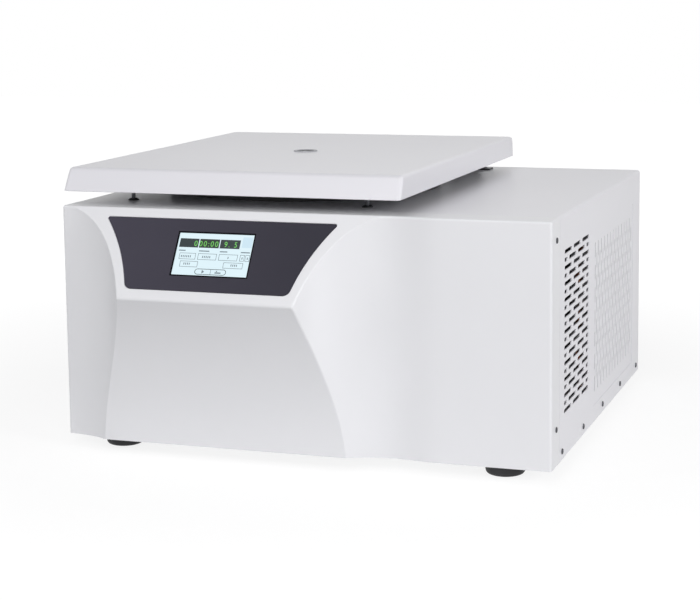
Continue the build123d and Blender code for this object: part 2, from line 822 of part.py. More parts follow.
# Swing carriers: a bent stainless cradle, two glass slides in it, and on each slide a single-use
# moulded chamber with its filter card
carrier_half = 41.0
cradle_sheet = 2.0
cradle_depth = 27.0
cheek_top = axis_z + 11.0
cheek_half = 11.0  # half width of each cheek at its trunnion
cheek_waist = axis_z - 14.0
cheek_foot = 12.0  # above the tray
lip = (1.0, 3.0)  # thickness and height
tray_z = axis_z - carrier_drop
slide_size = (25.4, 76.0, 1.0)
slide_shift = 13.0
filter_thickness = 0.8
cell_bore = 5.0
cell_top = axis_z + 18.0
card_half = (11.0, 35.0)
base_half = (12.0, 19.0)
base_height = 5.0
stem_radius = 8.0
funnel_radius = (10.0, 12.0)  # inside and outside
funnel_height = (22.0, 40.0)  # above its seat, where it starts to widen and where it stops
for bay in range(carriers):
    number = bay + 1
    turn = bay * quarter
    with BuildPart() as cradle:
        with BuildSketch(Plane.YZ.offset(swing_radius - cradle_depth)):
            with BuildLine():
                Polyline(
                    (-carrier_half, cheek_top),
                    (-carrier_half, tray_z - cradle_sheet),
                    (carrier_half, tray_z - cradle_sheet),
                    (carrier_half, cheek_top),
                    (carrier_half - cradle_sheet, cheek_top),
                    (carrier_half - cradle_sheet, tray_z),
                    (-carrier_half + cradle_sheet, tray_z),
                    (-carrier_half + cradle_sheet, cheek_top),
                    close=True,
                )
            make_face()
        extrude(amount=2 * cradle_depth)
        # the cheeks narrow towards the trunnions
        with BuildSketch(Plane.XZ.offset(-carrier_half - over)):
            for side in (-1, 1):
                with BuildLine():
                    Polyline(
                        (swing_radius + side * (cradle_depth + over), cheek_top + over),
                        (swing_radius + side * cheek_half, cheek_top + over),
                        (swing_radius + side * cheek_half, cheek_waist),
                        (swing_radius + side * cradle_depth, tray_z + cheek_foot),
                        (swing_radius + side * (cradle_depth + over), tray_z + cheek_foot),
                        close=True,
                    )
                make_face()
        extrude(amount=2 * carrier_half + 2 * over, mode=Mode.SUBTRACT)
        with Locations(Location((swing_radius, 0, axis_z), (90, 0, 0))):
            Cylinder(pin_radius + running, 2 * carrier_half + over, mode=Mode.SUBTRACT)
        # low lips along the tray's long edges keep the slides in
        for side in (-1, 1):
            rim = swing_radius + side * cradle_depth
            near, far = sorted((rim, rim - side * lip[0]))
            room = carrier_half - cradle_sheet
            add(brick((near, far), (-room, room), (tray_z, tray_z + lip[1])))
    with BuildPart() as carrier:
        with Locations(Location(spindle, (0, 0, turn))):
            add(cradle.part)
    finish(carrier, f"carrier_{number}")

    with BuildPart() as slides:
        with Locations(Location(spindle, (0, 0, turn))):
            for side in (-1, 1):
                middle = swing_radius + side * slide_shift
                add(
                    brick(
                        (middle - slide_size[0] / 2, middle + slide_size[0] / 2),
                        (-slide_size[1] / 2, slide_size[1] / 2),
                        (tray_z, tray_z + slide_size[2]),
                    )
                )
    finish(slides, f"slides_{number}")

    seat_z = tray_z + slide_size[2] + filter_thickness
    with BuildPart() as chambers:
        with Locations(Location(spindle, (0, 0, turn))):
            for side in (-1, 1):
                with Locations((swing_radius + side * slide_shift, 0, 0)):
                    for half, low, high in (
                        (card_half, seat_z - filter_thickness, seat_z),
                        (base_half, seat_z, seat_z + base_height),
                    ):
                        add(brick((-half[0], half[0]), (-half[1], half[1]), (low, high)))
                    add(
                        turned(
                            [
                                (0, seat_z + base_height),
                                (stem_radius, seat_z + base_height),
                                (stem_radius, seat_z + funnel_height[0]),
                                (funnel_radius[1], seat_z + funnel_height[1]),
                                (funnel_radius[1], cell_top),
                                (0, cell_top),
                            ]
                        )
                    )
                    add(
                        turned(
                            [
                                (0, seat_z - over),
                                (cell_bore, seat_z - over),
                                (cell_bore, seat_z + funnel_height[0] + 1),
                                (funnel_radius[0], seat_z + funnel_height[1] + 1),
                                (funnel_radius[0], cell_top + over),
                                (0, cell_top + over),
                            ]
                        ),
                        mode=Mode.SUBTRACT,
                    )
    finish(chambers, f"sample_chambers_{number}")

# ---------------------------------------------------------------------------
# Lid: folded steel tray with leaning skirts, foam core, flat liner and a
# sight port in its middle
# ---------------------------------------------------------------------------
lid_corner = 5.0
lid_edge = 4.5


def lid_form(skin):
    """The lid's outer form, with its walls and top moved in by skin: skirts that lean to a smaller top."""
    span_x = (lid_width - 2 * skin, lid_width - 2 * lid_side_lean - 2 * skin)
    front = (lid_y - lid_depth / 2 + skin * 1.3, lid_y - lid_depth / 2 + lid_front_lean + skin * 1.3)
    back = (lid_y + lid_depth / 2 - skin, lid_y + lid_depth / 2 - lid_side_lean - skin)
    with BuildPart(mode=Mode.PRIVATE) as form:
        for level, width, low, high in zip((lid_z, lid_top - skin), span_x, front, back):
            with BuildSketch(Plane.XY.offset(level)):
                with Locations((lid_x, (low + high) / 2)):
                    RectangleRounded(width, high - low, lid_corner - skin)
        loft()
        fillet(form.edges().group_by(Axis.Z)[-1], lid_edge - skin)
    return form.part


port_radius = 16.0
port_bore = 11.0
port_sleeve = 14.0
port_rise = 1.2
port_seat = lid_top - 1.4
port_ledge = 1.2
port_foot = lid_z + 1.6
liner_inset = 5.5
liner_sheet = 1.5
with BuildPart() as lid_shell:
    add(lid_form(0))
    add(lid_form(sheet), mode=Mode.SUBTRACT)
    with Locations(spindle):
        add(washer(0, port_sleeve, lid_z, lid_top + over), mode=Mode.SUBTRACT)
finish(lid_shell, "lid_shell")

with BuildPart() as lid_foam:
    add(lid_form(sheet + 0.4))
    add(
        brick(
            (-case_width, case_width),
            (-overall_depth, overall_depth),
            (lid_z - over, lid_z + liner_sheet + 0.2),
        ),
        mode=Mode.SUBTRACT,
    )
    with Locations(spindle):
        add(washer(0, port_sleeve + 0.2, lid_z, lid_top + over), mode=Mode.SUBTRACT)
finish(lid_foam, "lid_foam")

with BuildPart() as lid_liner:
    with BuildSketch(Plane.XY.offset(lid_z)):
        with Locations((lid_x, lid_y)):
            RectangleRounded(lid_width - 2 * liner_inset, lid_depth - 2 * liner_inset, lid_corner)
            Circle(port_bore + 1, mode=Mode.SUBTRACT)
    extrude(amount=liner_sheet)
finish(lid_liner, "lid_liner")

with BuildPart() as sight_port:
    with Locations(spindle):
        add(
            turned(
                [
                    (port_bore, port_foot),
                    (port_sleeve - clearance, port_foot),
                    (port_sleeve - clearance, lid_top),
                    (port_radius, lid_top),
                    (port_radius, lid_top + port_rise - 0.5),
                    (port_radius - 0.5, lid_top + port_rise),
                    (port_bore + port_ledge, lid_top + port_rise),
                    (port_bore + port_ledge, port_seat),
                    (port_bore, port_seat),
                ]
            )
        )
finish(sight_port, "sight_port")

with BuildPart() as sight_glass:
    with Locations(spindle):
        add(washer(0, port_bore + port_ledge - 0.1, port_seat, lid_top + 0.2))
finish(sight_glass, "sight_glass")

# ---------------------------------------------------------------------------
# Hinges: fixed base and moving leaf each side, a pin, and a torsion spring round the pin
# ---------------------------------------------------------------------------
hinge_reach = 150.0
hinge_y = front_y + 553.3
hinge_z = deck_z + 8.0
knuckle_radius = 5.5
hinge_pin_radius = 2.5
base_knuckle = (17.3, 23.3)
leaf_knuckle = (10.8, 17.0)
hinge_base_height = 2.4
hinge_leaf_height = 3.0
base_reach = 34.0
leaf_reach = 36.0
rivet = (3.4, 2.0)  # radius and height
rivet_pitch = 67.0
base_wing = (43.0, -14.0)  # how far each base reaches sideways, and the rear edge of that part
pin_head = (3.6, 1.4)  # radius and thickness
hinge_places = [(lid_x - hinge_reach, hinge_y, 0), (lid_x + hinge_reach, hinge_y, 0)]


def knuckle(span, radius):
    """A round barrel on the hinge axis between two distances from the hinge's middle, on both sides."""
    with BuildPart(mode=Mode.PRIVATE) as barrel:
        for side in (-1, 1):
            with Locations(Location((side * (span[0] + span[1]) / 2, 0, hinge_z), (0, 90, 0))):
                Cylinder(radius, span[1] - span[0])
    return barrel.part


with BuildPart() as hinge_bases:
    with Locations(*hinge_places):
        tall = (deck_z, deck_z + hinge_base_height)
        add(brick((-base_knuckle[1], base_knuckle[1]), (-base_reach, -1), tall))
        add(brick((-base_wing[0], base_wing[0]), (-base_reach, base_wing[1]), tall))
        add(knuckle(base_knuckle, knuckle_radius))
        for side in (-1, 1):
            near, far = sorted((side * base_knuckle[0], side * base_knuckle[1]))
            add(brick((near, far), (-12, 0), (deck_z + 1, hinge_z)))
        add(knuckle((0, base_knuckle[1] + over), hinge_pin_radius + running), mode=Mode.SUBTRACT)
    with Locations(*hinge_places):
        with Locations((0, -24, deck_z + hinge_base_height)):
            with GridLocations(rivet_pitch, 1, 2, 1):
                Cylinder(*rivet)
finish(hinge_bases, "hinge_bases")

with BuildPart() as hinge_leaves:
    with Locations(*hinge_places):
        tall = (lid_z - hinge_leaf_height, lid_z - 0.02)
        add(brick((-leaf_knuckle[1], leaf_knuckle[1]), (-leaf_reach, 2), tall))
        add(knuckle(leaf_knuckle, knuckle_radius))
        for side in (-1, 1):
            near, far = sorted((side * leaf_knuckle[0], side * leaf_knuckle[1]))
            add(brick((near, far), (-knuckle_radius, 2), (hinge_z, lid_z - 1)))
        add(knuckle((0, base_knuckle[1] + over), hinge_pin_radius + running), mode=Mode.SUBTRACT)
finish(hinge_leaves, "hinge_leaves")

with BuildPart() as hinge_pins:
    with Locations(*hinge_places):
        for side in (-1, 1):
            with Locations(Location((side * (base_knuckle[1] + 0.8), 0, hinge_z), (0, 90, 0))):
                Cylinder(*pin_head)
        with Locations(Location((0, 0, hinge_z), (0, 90, 0))):
            Cylinder(hinge_pin_radius, 2 * base_knuckle[1] + 1)
finish(hinge_pins, "hinge_pins")

spring_wire = 1.1
spring_turns = 7
spring_radius = hinge_pin_radius + spring_wire + 0.4
with BuildPart() as hinge_springs:
    with Locations(*hinge_places):
        for k in range(spring_turns):
            across = (k - (spring_turns - 1) / 2) * 2 * (spring_wire + 0.1)
            with Locations(Location((across, 0, hinge_z), (0, 90, 0))):
                Torus(spring_radius, spring_wire)
finish(hinge_springs, "hinge_springs")

# ---------------------------------------------------------------------------
# Latches: a striker pin under each front corner of the lid drops through a
# collar in the deck, and a motor turns a slotted hook round the pin's neck
# ---------------------------------------------------------------------------
striker_radius = 2.5
neck_radius = 1.5
neck_z = (deck_z - 17.5, deck_z - 12.5)
striker_tip = deck_z - 22.5
striker_flange = (9.0, 2.5)  # radius and thickness
with BuildPart() as lid_strikers:
    with Locations(*[(x, y, 0) for x, y in latch_places]):
        add(
            turned(
                [
                    (0, striker_tip),
                    (striker_radius / 2, striker_tip),
                    (striker_radius, striker_tip + 3),
                    (striker_radius, neck_z[0]),
                    (neck_radius, neck_z[0]),
                    (neck_radius, neck_z[1]),
                    (striker_radius, neck_z[1]),
                    (striker_radius, lid_z - striker_flange[1]),
                    (striker_flange[0], lid_z - striker_flange[1]),
                    (striker_flange[0], lid_z - 0.02),
                    (0, lid_z - 0.02),
                ]
            )
        )
finish(lid_strikers, "lid_strikers")

collar_bore = 4.2
collar_rim = 7.0
collar_lip = 5.0
collar_rise = 2.4
with BuildPart() as latch_collars:
    with Locations(*[(x, y, 0) for x, y in latch_places]):
        add(
            turned(
                [
                    (collar_bore, deck_under - 1),
                    (latch_hole - 0.2, deck_under - 1),
                    (latch_hole - 0.2, deck_z),
                    (collar_rim, deck_z),
                    (collar_rim, deck_z + 0.8),
                    (collar_lip, deck_z + collar_rise - 0.2),
                    (collar_lip - 0.4, deck_z + collar_rise),
                    (collar_bore, deck_z + collar_rise),
                ]
            )
        )
finish(latch_collars, "latch_collars")

hook_swing = 22.0  # from the hook's pivot to the striker
hook_z = (neck_z[0] + 1, neck_z[1] - 1)
hook_lead = 9.0  # the open hook's tip stands this many degrees short of the striker
hook_slot = 29.0  # degrees of slot behind the tip
hook_span = 62.0
hook_hub = 8.0
hook_rim = 6.0  # metal left outside the pin's path
neck_room = 2.0  # half width of the slot the pin's neck passes along
pivot_radius = 3.0
# each pivot lies outboard of the left striker and inboard of the right one, so both hooks are alike
hook_pivots = [(x - hook_swing, y) for x, y in latch_places]


def sector(inner, outer, start, size):
    """A flat ring sector about the origin, from an angle through a number of degrees."""
    with BuildSketch(mode=Mode.PRIVATE) as shape:
        with BuildLine():
            CenterArc((0, 0), outer, start, size)
            CenterArc((0, 0), inner, start, size)
            for angle in (start, start + size):
                Line(Vector(inner, 0).rotate(Axis.Z, angle), Vector(outer, 0).rotate(Axis.Z, angle))
        make_face()
    return shape.sketch


for name, pivot in zip(("left", "right"), hook_pivots):
    with BuildPart() as latch_hook:
        with BuildSketch(Plane.XY.offset(hook_z[0])):
            with Locations(pivot):
                Circle(hook_hub)
                add(sector(hook_hub - 1, hook_swing + hook_rim, hook_lead, hook_span))
                path = (hook_swing - neck_room, hook_swing + neck_room)
                add(sector(*path, hook_lead - over, hook_slot + over), mode=Mode.SUBTRACT)
                Circle(pivot_radius + running, mode=Mode.SUBTRACT)
        extrude(amount=hook_z[1] - hook_z[0])
    finish(latch_hook, f"latch_hook_{name}")

bracket_z = (neck_z[0] - 3.5, neck_z[0] - 0.5)
bracket_top = (deck_under - 2.0, deck_under - 1.1)
bracket_y = (latch_y - 14.0, latch_y + 32.0)
bracket_reach = (16.0, 14.0)  # past the hook's pivot and past the striker
with BuildPart() as latch_brackets:
    for x, y in latch_places:
        span_x = (x - hook_swing - bracket_reach[0], x + bracket_reach[1])
        for z_span in (bracket_z, bracket_top):
            add(brick(span_x, bracket_y, z_span))
        add(brick((span_x[0], span_x[0] + 2), bracket_y, (bracket_z[0], bracket_top[1])))
        with Locations((x, y, 0)):
            add(washer(0, latch_hole + 1, bracket_z[0] - over, deck_z), mode=Mode.SUBTRACT)
        with Locations((x - hook_swing, y, 0)):
            add(washer(0, pivot_radius + 0.5, bracket_z[0] - over, bracket_z[1] + over), mode=Mode.SUBTRACT)
finish(latch_brackets, "latch_brackets")

gearmotor = (11.0, 34.0)  # radius and length
gearmotor_tail = (4.0, 4.0)
with BuildPart() as latch_motors:
    for x, y in hook_pivots:
        with Locations((x, y, 0)):
            foot = bracket_z[0] - gearmotor[1]
            add(washer(0, gearmotor[0], foot, bracket_z[0]))
            add(washer(0, pivot_radius, bracket_z[0], hook_z[1] + 1.5))
            add(washer(0, gearmotor_tail[0], foot - gearmotor_tail[1], foot))
finish(latch_motors, "latch_motors")

# ---------------------------------------------------------------------------
# Refrigeration bay, right of the bulkhead: compressor, condenser and its fan,
# and the copper tubing that joins them to the coil round the bowl
# ---------------------------------------------------------------------------
bulkhead_x = 124.0
bulkhead_y = (-205.0, 298.0)
bulkhead_sheet = 1.2
bulkhead_foot = 12.0
with BuildPart() as bulkhead:
    wall = (bulkhead_x, bulkhead_x + bulkhead_sheet)
    add(brick(wall, bulkhead_y, (pan_floor, deck_under - 0.5)))
    add(brick((bulkhead_x, bulkhead_x + bulkhead_foot), bulkhead_y, (pan_floor, pan_floor + bulkhead_sheet)))
    for height in pipe_heights:
        with Locations(Location((bulkhead_x, lid_y, height), (0, 90, 0))):
            Cylinder(pipe_hole, 2 * over, mode=Mode.SUBTRACT)
finish(bulkhead, "bulkhead")

condenser_x = (280.0, 304.0)
condenser_y = (-12.0, 257.0)
condenser_z = (case_z + 25.0, case_z + 245.0)
fin_pitch = 8.0
fin_thickness = 0.8
tube_radius = 4.8
tube_rows = 8
tube_rise = 25.7
tube_x = sum(condenser_x) / 2
tube_z = [condenser_z[0] + 20 + k * tube_rise for k in range(tube_rows)]
tube_return = 9.0  # how far each bend stands out past the fins
with BuildPart() as condenser:
    fins = int((condenser_y[1] - condenser_y[0]) / fin_pitch)
    for k in range(fins + 1):
        start = condenser_y[0] + k * fin_pitch
        add(brick(condenser_x, (start, start + fin_thickness), condenser_z))
    for height in tube_z:
        with Locations(Location((tube_x, sum(condenser_y) / 2, height), (90, 0, 0))):
            Cylinder(tube_radius, condenser_y[1] - condenser_y[0])
    for k in range(tube_rows - 1):
        end, out = (condenser_y[1], tube_return) if k % 2 == 0 else (condenser_y[0], -tube_return)
        low, high = tube_z[k], tube_z[k + 1]
        turn = [(end, low), (end + out, low), (end + out, high), (end, high)]
        add(pipe([(tube_x, y, z) for y, z in turn], 4, 8))
finish(condenser, "condenser")

fan_middle = (sum(condenser_y) / 2, sum(condenser_z) / 2)
shroud_x = (262.0, 280.0)
shroud_ring = (93.0, 96.0)
strut_x = (236.0, 240.0)
struts = 3
strut_half = 5.0
strut_hub = 30.0
shroud_sheet = 2.0
fan_axis = Location((0, fan_middle[0], fan_middle[1]), (0, 90, 0))  # its local Z runs along +X
with BuildPart() as fan_shroud:
    add(brick(shroud_x, condenser_y, condenser_z))
    inner_y = (condenser_y[0] + shroud_sheet, condenser_y[1] - shroud_sheet)
    inner_z = (condenser_z[0] + shroud_sheet, condenser_z[1] - shroud_sheet)
    add(brick((shroud_x[0] + shroud_sheet, shroud_x[1] + over), inner_y, inner_z), mode=Mode.SUBTRACT)
    with Locations(fan_axis):
        add(washer(0, shroud_ring[0], shroud_x[0] - over, shroud_x[0] + over), mode=Mode.SUBTRACT)
        add(washer(shroud_ring[0], shroud_ring[1], strut_x[0], shroud_x[0] + shroud_sheet))
        with PolarLocations(0, struts, start_angle=90):
            add(brick((strut_hub - 4, shroud_ring[0] + 1), (-strut_half, strut_half), strut_x))
        add(washer(4, strut_hub, strut_x[0], strut_x[1]))
finish(fan_shroud, "fan_shroud")

fan_bore = 3.0
fan_motor_size = (28.0, 30.0)  # radius and length
fan_motor_cap = (10.0, 4.0)
with BuildPart() as fan_motor:
    with Locations(fan_axis):
        end = strut_x[0] - fan_motor_size[1]
        add(washer(0, fan_motor_size[0], end, strut_x[0]))
        add(washer(0, fan_motor_cap[0], end - fan_motor_cap[1], end))
        add(washer(0, fan_bore + running, strut_x[0] - 20, strut_x[0] + over), mode=Mode.SUBTRACT)
finish(fan_motor, "fan_motor")

fan_x = 251.0
blade_count = 6
blade_pitch = 32.0
blade = (70.0, 34.0, 1.6)
fan_hub = (20.0, 8.0)  # radius and half length
with BuildPart() as fan_blades:
    with Locations(fan_axis):
        add(washer(0, fan_hub[0], fan_x - fan_hub[1], fan_x + fan_hub[1]))
        add(washer(0, fan_bore, strut_x[0] - 18, fan_x))
        with PolarLocations(0, blade_count):
            with Locations(Location((fan_hub[0] + blade[0] / 2 - 3, 0, fan_x), (blade_pitch, 0, 0))):
                Box(*blade)
finish(fan_blades, "fan_blades")

compressor_place = (180.0, 245.0, 0)
compressor_radius = 50.0
compressor_top = case_z + 185.0
shell_bottom = 27.0
shell_rounding = (28.0, 12.0)  # of its dome and of its foot
weld_z = (case_z + 97.0, case_z + 100.0)
plate_z = (24.0, 30.0)
plate_half = (42.0, 46.0)
grommet_pitch = (66.0, 74.0)
grommet_radius = 6.5
with BuildPart() as compressor:
    with Locations(compressor_place):
        add(washer(0, compressor_radius, shell_bottom, compressor_top))
    fillet(compressor.edges().group_by(Axis.Z)[-1], shell_rounding[0])
    fillet(compressor.edges().group_by(Axis.Z)[0], shell_rounding[1])
    with Locations(compressor_place):
        add(washer(0, compressor_radius + 3, *weld_z))
        add(brick((-plate_half[0], plate_half[0]), (-plate_half[1], plate_half[1]), plate_z))
        with GridLocations(*grommet_pitch, 2, 2):
            add(washer(0, grommet_radius, pan_floor, plate_z[0]))
        # the terminal box
        add(brick((30, 52), (-60, -20), (80, 125)))
finish(compressor, "compressor")

line_bend = 16.0
line_x = 150.0
line_top = condenser_z[1] + 17
drier_place = (215.0, 0.0)
drier_radius = 10.0
drier_z = (case_z + 177.0, case_z + 237.0)
thin_pipe = 3.0
thin_bend = 12.0
with BuildPart() as refrigerant_tubing:
    with Locations(*[(lid_x, lid_y, coil_start + coil_rise * k) for k in range(coil_turns)]):
        Torus(coil_radius, coil_pipe)
    coil_side = lid_x + coil_radius
    low, high = pipe_heights
    x, y, _ = compressor_place
    suction = [
        (coil_side, lid_y, high),
        (line_x, lid_y, high),
        (x - 10, y, high),
        (x - 10, y, compressor_top),
    ]
    add(pipe(suction, coil_pipe, line_bend))
    discharge = [
        (x + 10, y, compressor_top),
        (x + 10, y, line_top),
        (tube_x, y, line_top),
        (tube_x, y, condenser_z[1]),
    ]
    add(pipe(discharge, thin_pipe, thin_bend))
    liquid = [
        (tube_x, 4, condenser_z[1]),
        (tube_x, 4, line_top),
        (drier_place[0], drier_place[1], line_top),
        (drier_place[0], drier_place[1], low),
        (line_x, lid_y, low),
        (coil_side, lid_y, low),
    ]
    add(pipe(liquid, thin_pipe, thin_bend))
    with Locations((drier_place[0], drier_place[1], 0)):
        add(washer(0, drier_radius, *drier_z))
finish(refrigerant_tubing, "refrigerant_tubing")

# ---------------------------------------------------------------------------
# Electrics: motor drive with its heat sink, a wiring harness to the console,
# and a combined mains inlet and switch in the rear panel
# ---------------------------------------------------------------------------
drive_x = (188.0, 282.0)
drive_y = (-190.0, -80.0)
drive_z = (pan_floor, pan_floor + 62.0)
sink_fins = 11
sink_height = 22.0
sink_inset = 4.0
with BuildPart() as drive_unit:
    add(brick(drive_x, drive_y, drive_z))
    for k in range(sink_fins):
        middle = drive_x[0] + sink_inset + k * (drive_x[1] - drive_x[0] - 2 * sink_inset) / (sink_fins - 1)
        add(brick((middle - 1, middle + 1), drive_y, (drive_z[1], drive_z[1] + sink_height)))
finish(drive_unit, "drive_unit")

wire_radius = 1.8
wire_bend = 14.0
wires = 3
wire_pitch = 5.0
with BuildPart() as wiring_harness:
    for k in range(wires):
        step = wire_pitch * k
        add(
            pipe(
                [
                    (280 - step, -74, pan_floor),
                    (280 - step, -74, 150 + step),
                    (292 - step, -112, 224 - step),
                    (280 - step, -196, 262 - step),
                    (180, -226, 258 - step),
                    (-10, -228, 250 - step),
                    (-60, -232, 246 - step),
                    (-84 + step, -258, 242 - step),
                ],
                wire_radius,
                wire_bend,
            )
        )
finish(wiring_harness, "wiring_harness")

entry_depth = 30.0
flange_rim = 3.0
flange_proud = 2.0
socket_size = (24.6, 16.8)
socket_depth = 18.0
socket_z = entry_centre[1] - 17.0
blade_size = (2.0, 6.0)
rocker_z = entry_centre[1] + 18.0
rocker_y = rear_face - 4.5
rocker_size = (12.4, 10.0, 20.0)
rocker_tilt = 8.0
rocker_pin = 1.2
rocker_well = (6.8, 8.5, 11.6)  # half width, depth behind the rocker's axis, half height
blades = ((-7.0, 0.0), (7.0, 0.0), (0.0, 4.0))
with BuildPart() as power_entry:
    x = entry_centre[0]
    half_x, half_z = entry_size[0] / 2, entry_size[1] / 2
    add(
        brick(
            (x - half_x, x + half_x),
            (rear_face - entry_depth, rear_face),
            (entry_centre[1] - half_z, entry_centre[1] + half_z),
        )
    )
    add(
        brick(
            (x - half_x - flange_rim, x + half_x + flange_rim),
            (rear_face, rear_face + flange_proud),
            (entry_centre[1] - half_z - flange_rim, entry_centre[1] + half_z + flange_rim),
        )
    )
    with BuildSketch(Plane.XZ.offset(-rear_face - flange_proud)):
        with Locations((x, socket_z)):
            RectangleRounded(socket_size[0], socket_size[1], 3)
    extrude(amount=socket_depth, mode=Mode.SUBTRACT)
    for shift, rise in blades:
        add(
            brick(
                (x + shift - blade_size[0] / 2, x + shift + blade_size[0] / 2),
                (rear_face + flange_proud - socket_depth, rear_face - 2),
                (socket_z + rise - blade_size[1] / 2, socket_z + rise + blade_size[1] / 2),
            )
        )
    add(
        brick(
            (x - rocker_well[0], x + rocker_well[0]),
            (rocker_y - rocker_well[1], rear_face + over),
            (rocker_z - rocker_well[2], rocker_z + rocker_well[2]),
        ),
        mode=Mode.SUBTRACT,
    )
    with Locations(Location((x, rocker_y, rocker_z), (0, 90, 0))):
        Cylinder(rocker_pin + running, 18, mode=Mode.SUBTRACT)
finish(power_entry, "power_entry")

with BuildPart() as power_rocker:
    with Locations(Location((entry_centre[0], rocker_y, rocker_z), (rocker_tilt, 0, 0))):
        Box(*rocker_size)
    fillet(power_rocker.edges().filter_by(Axis.X).group_by(Axis.Y)[-1], 1.5)
    with Locations(Location((entry_centre[0], rocker_y, rocker_z), (0, 90, 0))):
        Cylinder(rocker_pin, 17)
finish(power_rocker, "power_rocker")
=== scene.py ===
import json
import math

import bmesh
import bpy
from mathutils import Matrix, Vector


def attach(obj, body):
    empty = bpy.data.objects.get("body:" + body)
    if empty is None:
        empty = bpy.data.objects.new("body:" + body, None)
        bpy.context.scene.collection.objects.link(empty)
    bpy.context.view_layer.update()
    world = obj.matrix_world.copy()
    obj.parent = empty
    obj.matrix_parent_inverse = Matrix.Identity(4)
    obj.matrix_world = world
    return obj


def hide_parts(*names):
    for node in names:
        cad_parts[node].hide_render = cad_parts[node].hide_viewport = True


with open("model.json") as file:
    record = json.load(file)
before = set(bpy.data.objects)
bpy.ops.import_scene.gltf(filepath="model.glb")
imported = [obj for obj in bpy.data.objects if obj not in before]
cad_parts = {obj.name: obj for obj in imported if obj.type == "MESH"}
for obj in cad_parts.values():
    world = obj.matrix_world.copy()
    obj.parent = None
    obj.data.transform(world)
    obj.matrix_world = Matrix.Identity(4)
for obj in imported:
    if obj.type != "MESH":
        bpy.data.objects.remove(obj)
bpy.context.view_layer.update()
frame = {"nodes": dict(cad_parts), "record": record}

# ------------------------------
# Camera, floor and studio light: a long lens a little above the deck, a pale
# seamless floor, a big soft lamp in front with a weaker one above it, a tall
# strip each side and two lamps behind
# ------------------------------
scene = bpy.context.scene
scene.view_settings.view_transform = "Standard"


def added(name, data):
    """A new object of the scene, made of the given data."""
    made = bpy.data.objects.new(name, data)
    scene.collection.objects.link(made)
    return made


view_forward = Vector((-0.3243, 0.9366, -0.1326)).normalized()
view_right = view_forward.cross(Vector((-0.0322, 0.1292, 0.9911))).normalized()
view_up = view_right.cross(view_forward)
camera = added("camera", bpy.data.cameras.new("camera"))
camera.data.lens = 91.4
camera.data.sensor_width = 36
camera.data.shift_y = -80 / 700
camera.matrix_world = Matrix((view_right, view_up, -view_forward)).transposed().to_4x4()
camera.location = (0.74285, -2.19983, 0.57435)
scene.camera = camera


def colour(code):
    """An sRGB hex colour as the linear values that Blender's sockets take."""
    parts = [int(code[i : i + 2], 16) / 255 for i in (1, 3, 5)]
    return [c / 12.92 if c <= 0.04045 else ((c + 0.055) / 1.055) ** 2.4 for c in parts] + [1.0]


def feed(tree, made, inputs):
    """Set each input of a node to a value, or link it to a socket or to another node's first output."""
    for name, value in inputs.items():
        if isinstance(value, bpy.types.Node):
            value = value.outputs[0]
        if isinstance(value, bpy.types.NodeSocket):
            tree.links.new(value, made.inputs[name])
        else:
            made.inputs[name].default_value = value


def node(tree, kind, inputs=None, **settings):
    """Add one node, of the tree's own kind unless it is named in full, with its settings and inputs."""
    made = tree.nodes.new(kind if "Node" in kind else tree.bl_idname[:-4] + kind)
    for name, value in settings.items():
        setattr(made, name, value)
    feed(tree, made, inputs or {})
    return made


def worked(tree, operation, *values):
    """The result of a sum on numbers or sockets."""
    return node(tree, "ShaderNodeMath", dict(enumerate(values)), operation=operation).outputs[0]


def ranged(tree, value, *limits):
    """A value carried over from one range to another: from, to, new from, new to."""
    return node(tree, "MapRange", {0: value, **dict(enumerate(limits, 1))}).outputs[0]


def blend(tree, share, low, high):
    """A colour between two, each a hex code or a socket, by a share from 0 to 1."""
    low, high = (colour(end) if isinstance(end, str) else end for end in (low, high))
    return node(tree, "Mix", {0: share, 6: low, 7: high}, data_type="RGBA").outputs[2]


def seen_directly(tree):
    """1 for a ray straight from the camera, off gloss or through glass, 0 for soft bounced light."""
    path = node(tree, "LightPath").outputs
    gloss = worked(tree, "MAXIMUM", path["Is Glossy Ray"], path["Is Transmission Ray"])
    return worked(tree, "MAXIMUM", gloss, path["Is Camera Ray"])


plain_white = (1, 1, 1, 1)
sky = bpy.data.worlds.new("white studio")
sky.use_nodes = True
tree = sky.node_tree
tree.nodes.clear()
soft_level = node(tree, "Background", {"Color": colour("#F7F9FF"), "Strength": 0.14})
white = node(tree, "Background", {"Color": plain_white, "Strength": 1.0})
both = node(tree, "MixShader", {0: seen_directly(tree), 1: soft_level, 2: white})
node(tree, "OutputWorld", {"Surface": both})
scene.world = sky

floor_half = 6.0
floor_mesh = bpy.data.meshes.new("floor")
corners = [(x * floor_half, y * floor_half, 0) for x, y in ((-1, -1), (1, -1), (1, 1), (-1, 1))]
floor_mesh.from_pydata(corners, [], [(0, 1, 2, 3)])
floor = added("floor", floor_mesh)
paper = bpy.data.materials.new("seamless paper")
paper.use_nodes = True
tree = paper.node_tree
tree.nodes.clear()
place = node(tree, "TexCoord").outputs["Object"]
away = node(tree, "VectorMath", {0: place}, operation="LENGTH").outputs["Value"]
# the paper throws most light up close to the machine
bounce = blend(tree, ranged(tree, away, 0.4, 1.3, 0.0, 1.0), "#D4D4D4", "#7E7E7E")
matt = node(tree, "BsdfDiffuse", {"Color": bounce})
# it glows plain white away from the machine, and a little less under it: a painted shadow where its shadow
# falls
glow = node(tree, "Emission", {"Color": plain_white, "Strength": ranged(tree, away, 0.5, 1.6, 0.84, 1.0)})
thin_matt = node(tree, "BsdfDiffuse", {"Color": colour("#7C7C7C")})
lit_paper = node(tree, "AddShader", {0: thin_matt, 1: glow})
both = node(tree, "MixShader", {0: seen_directly(tree), 1: matt, 2: lit_paper})
node(tree, "OutputMaterial", {"Surface": both})
floor_mesh.materials.append(paper)

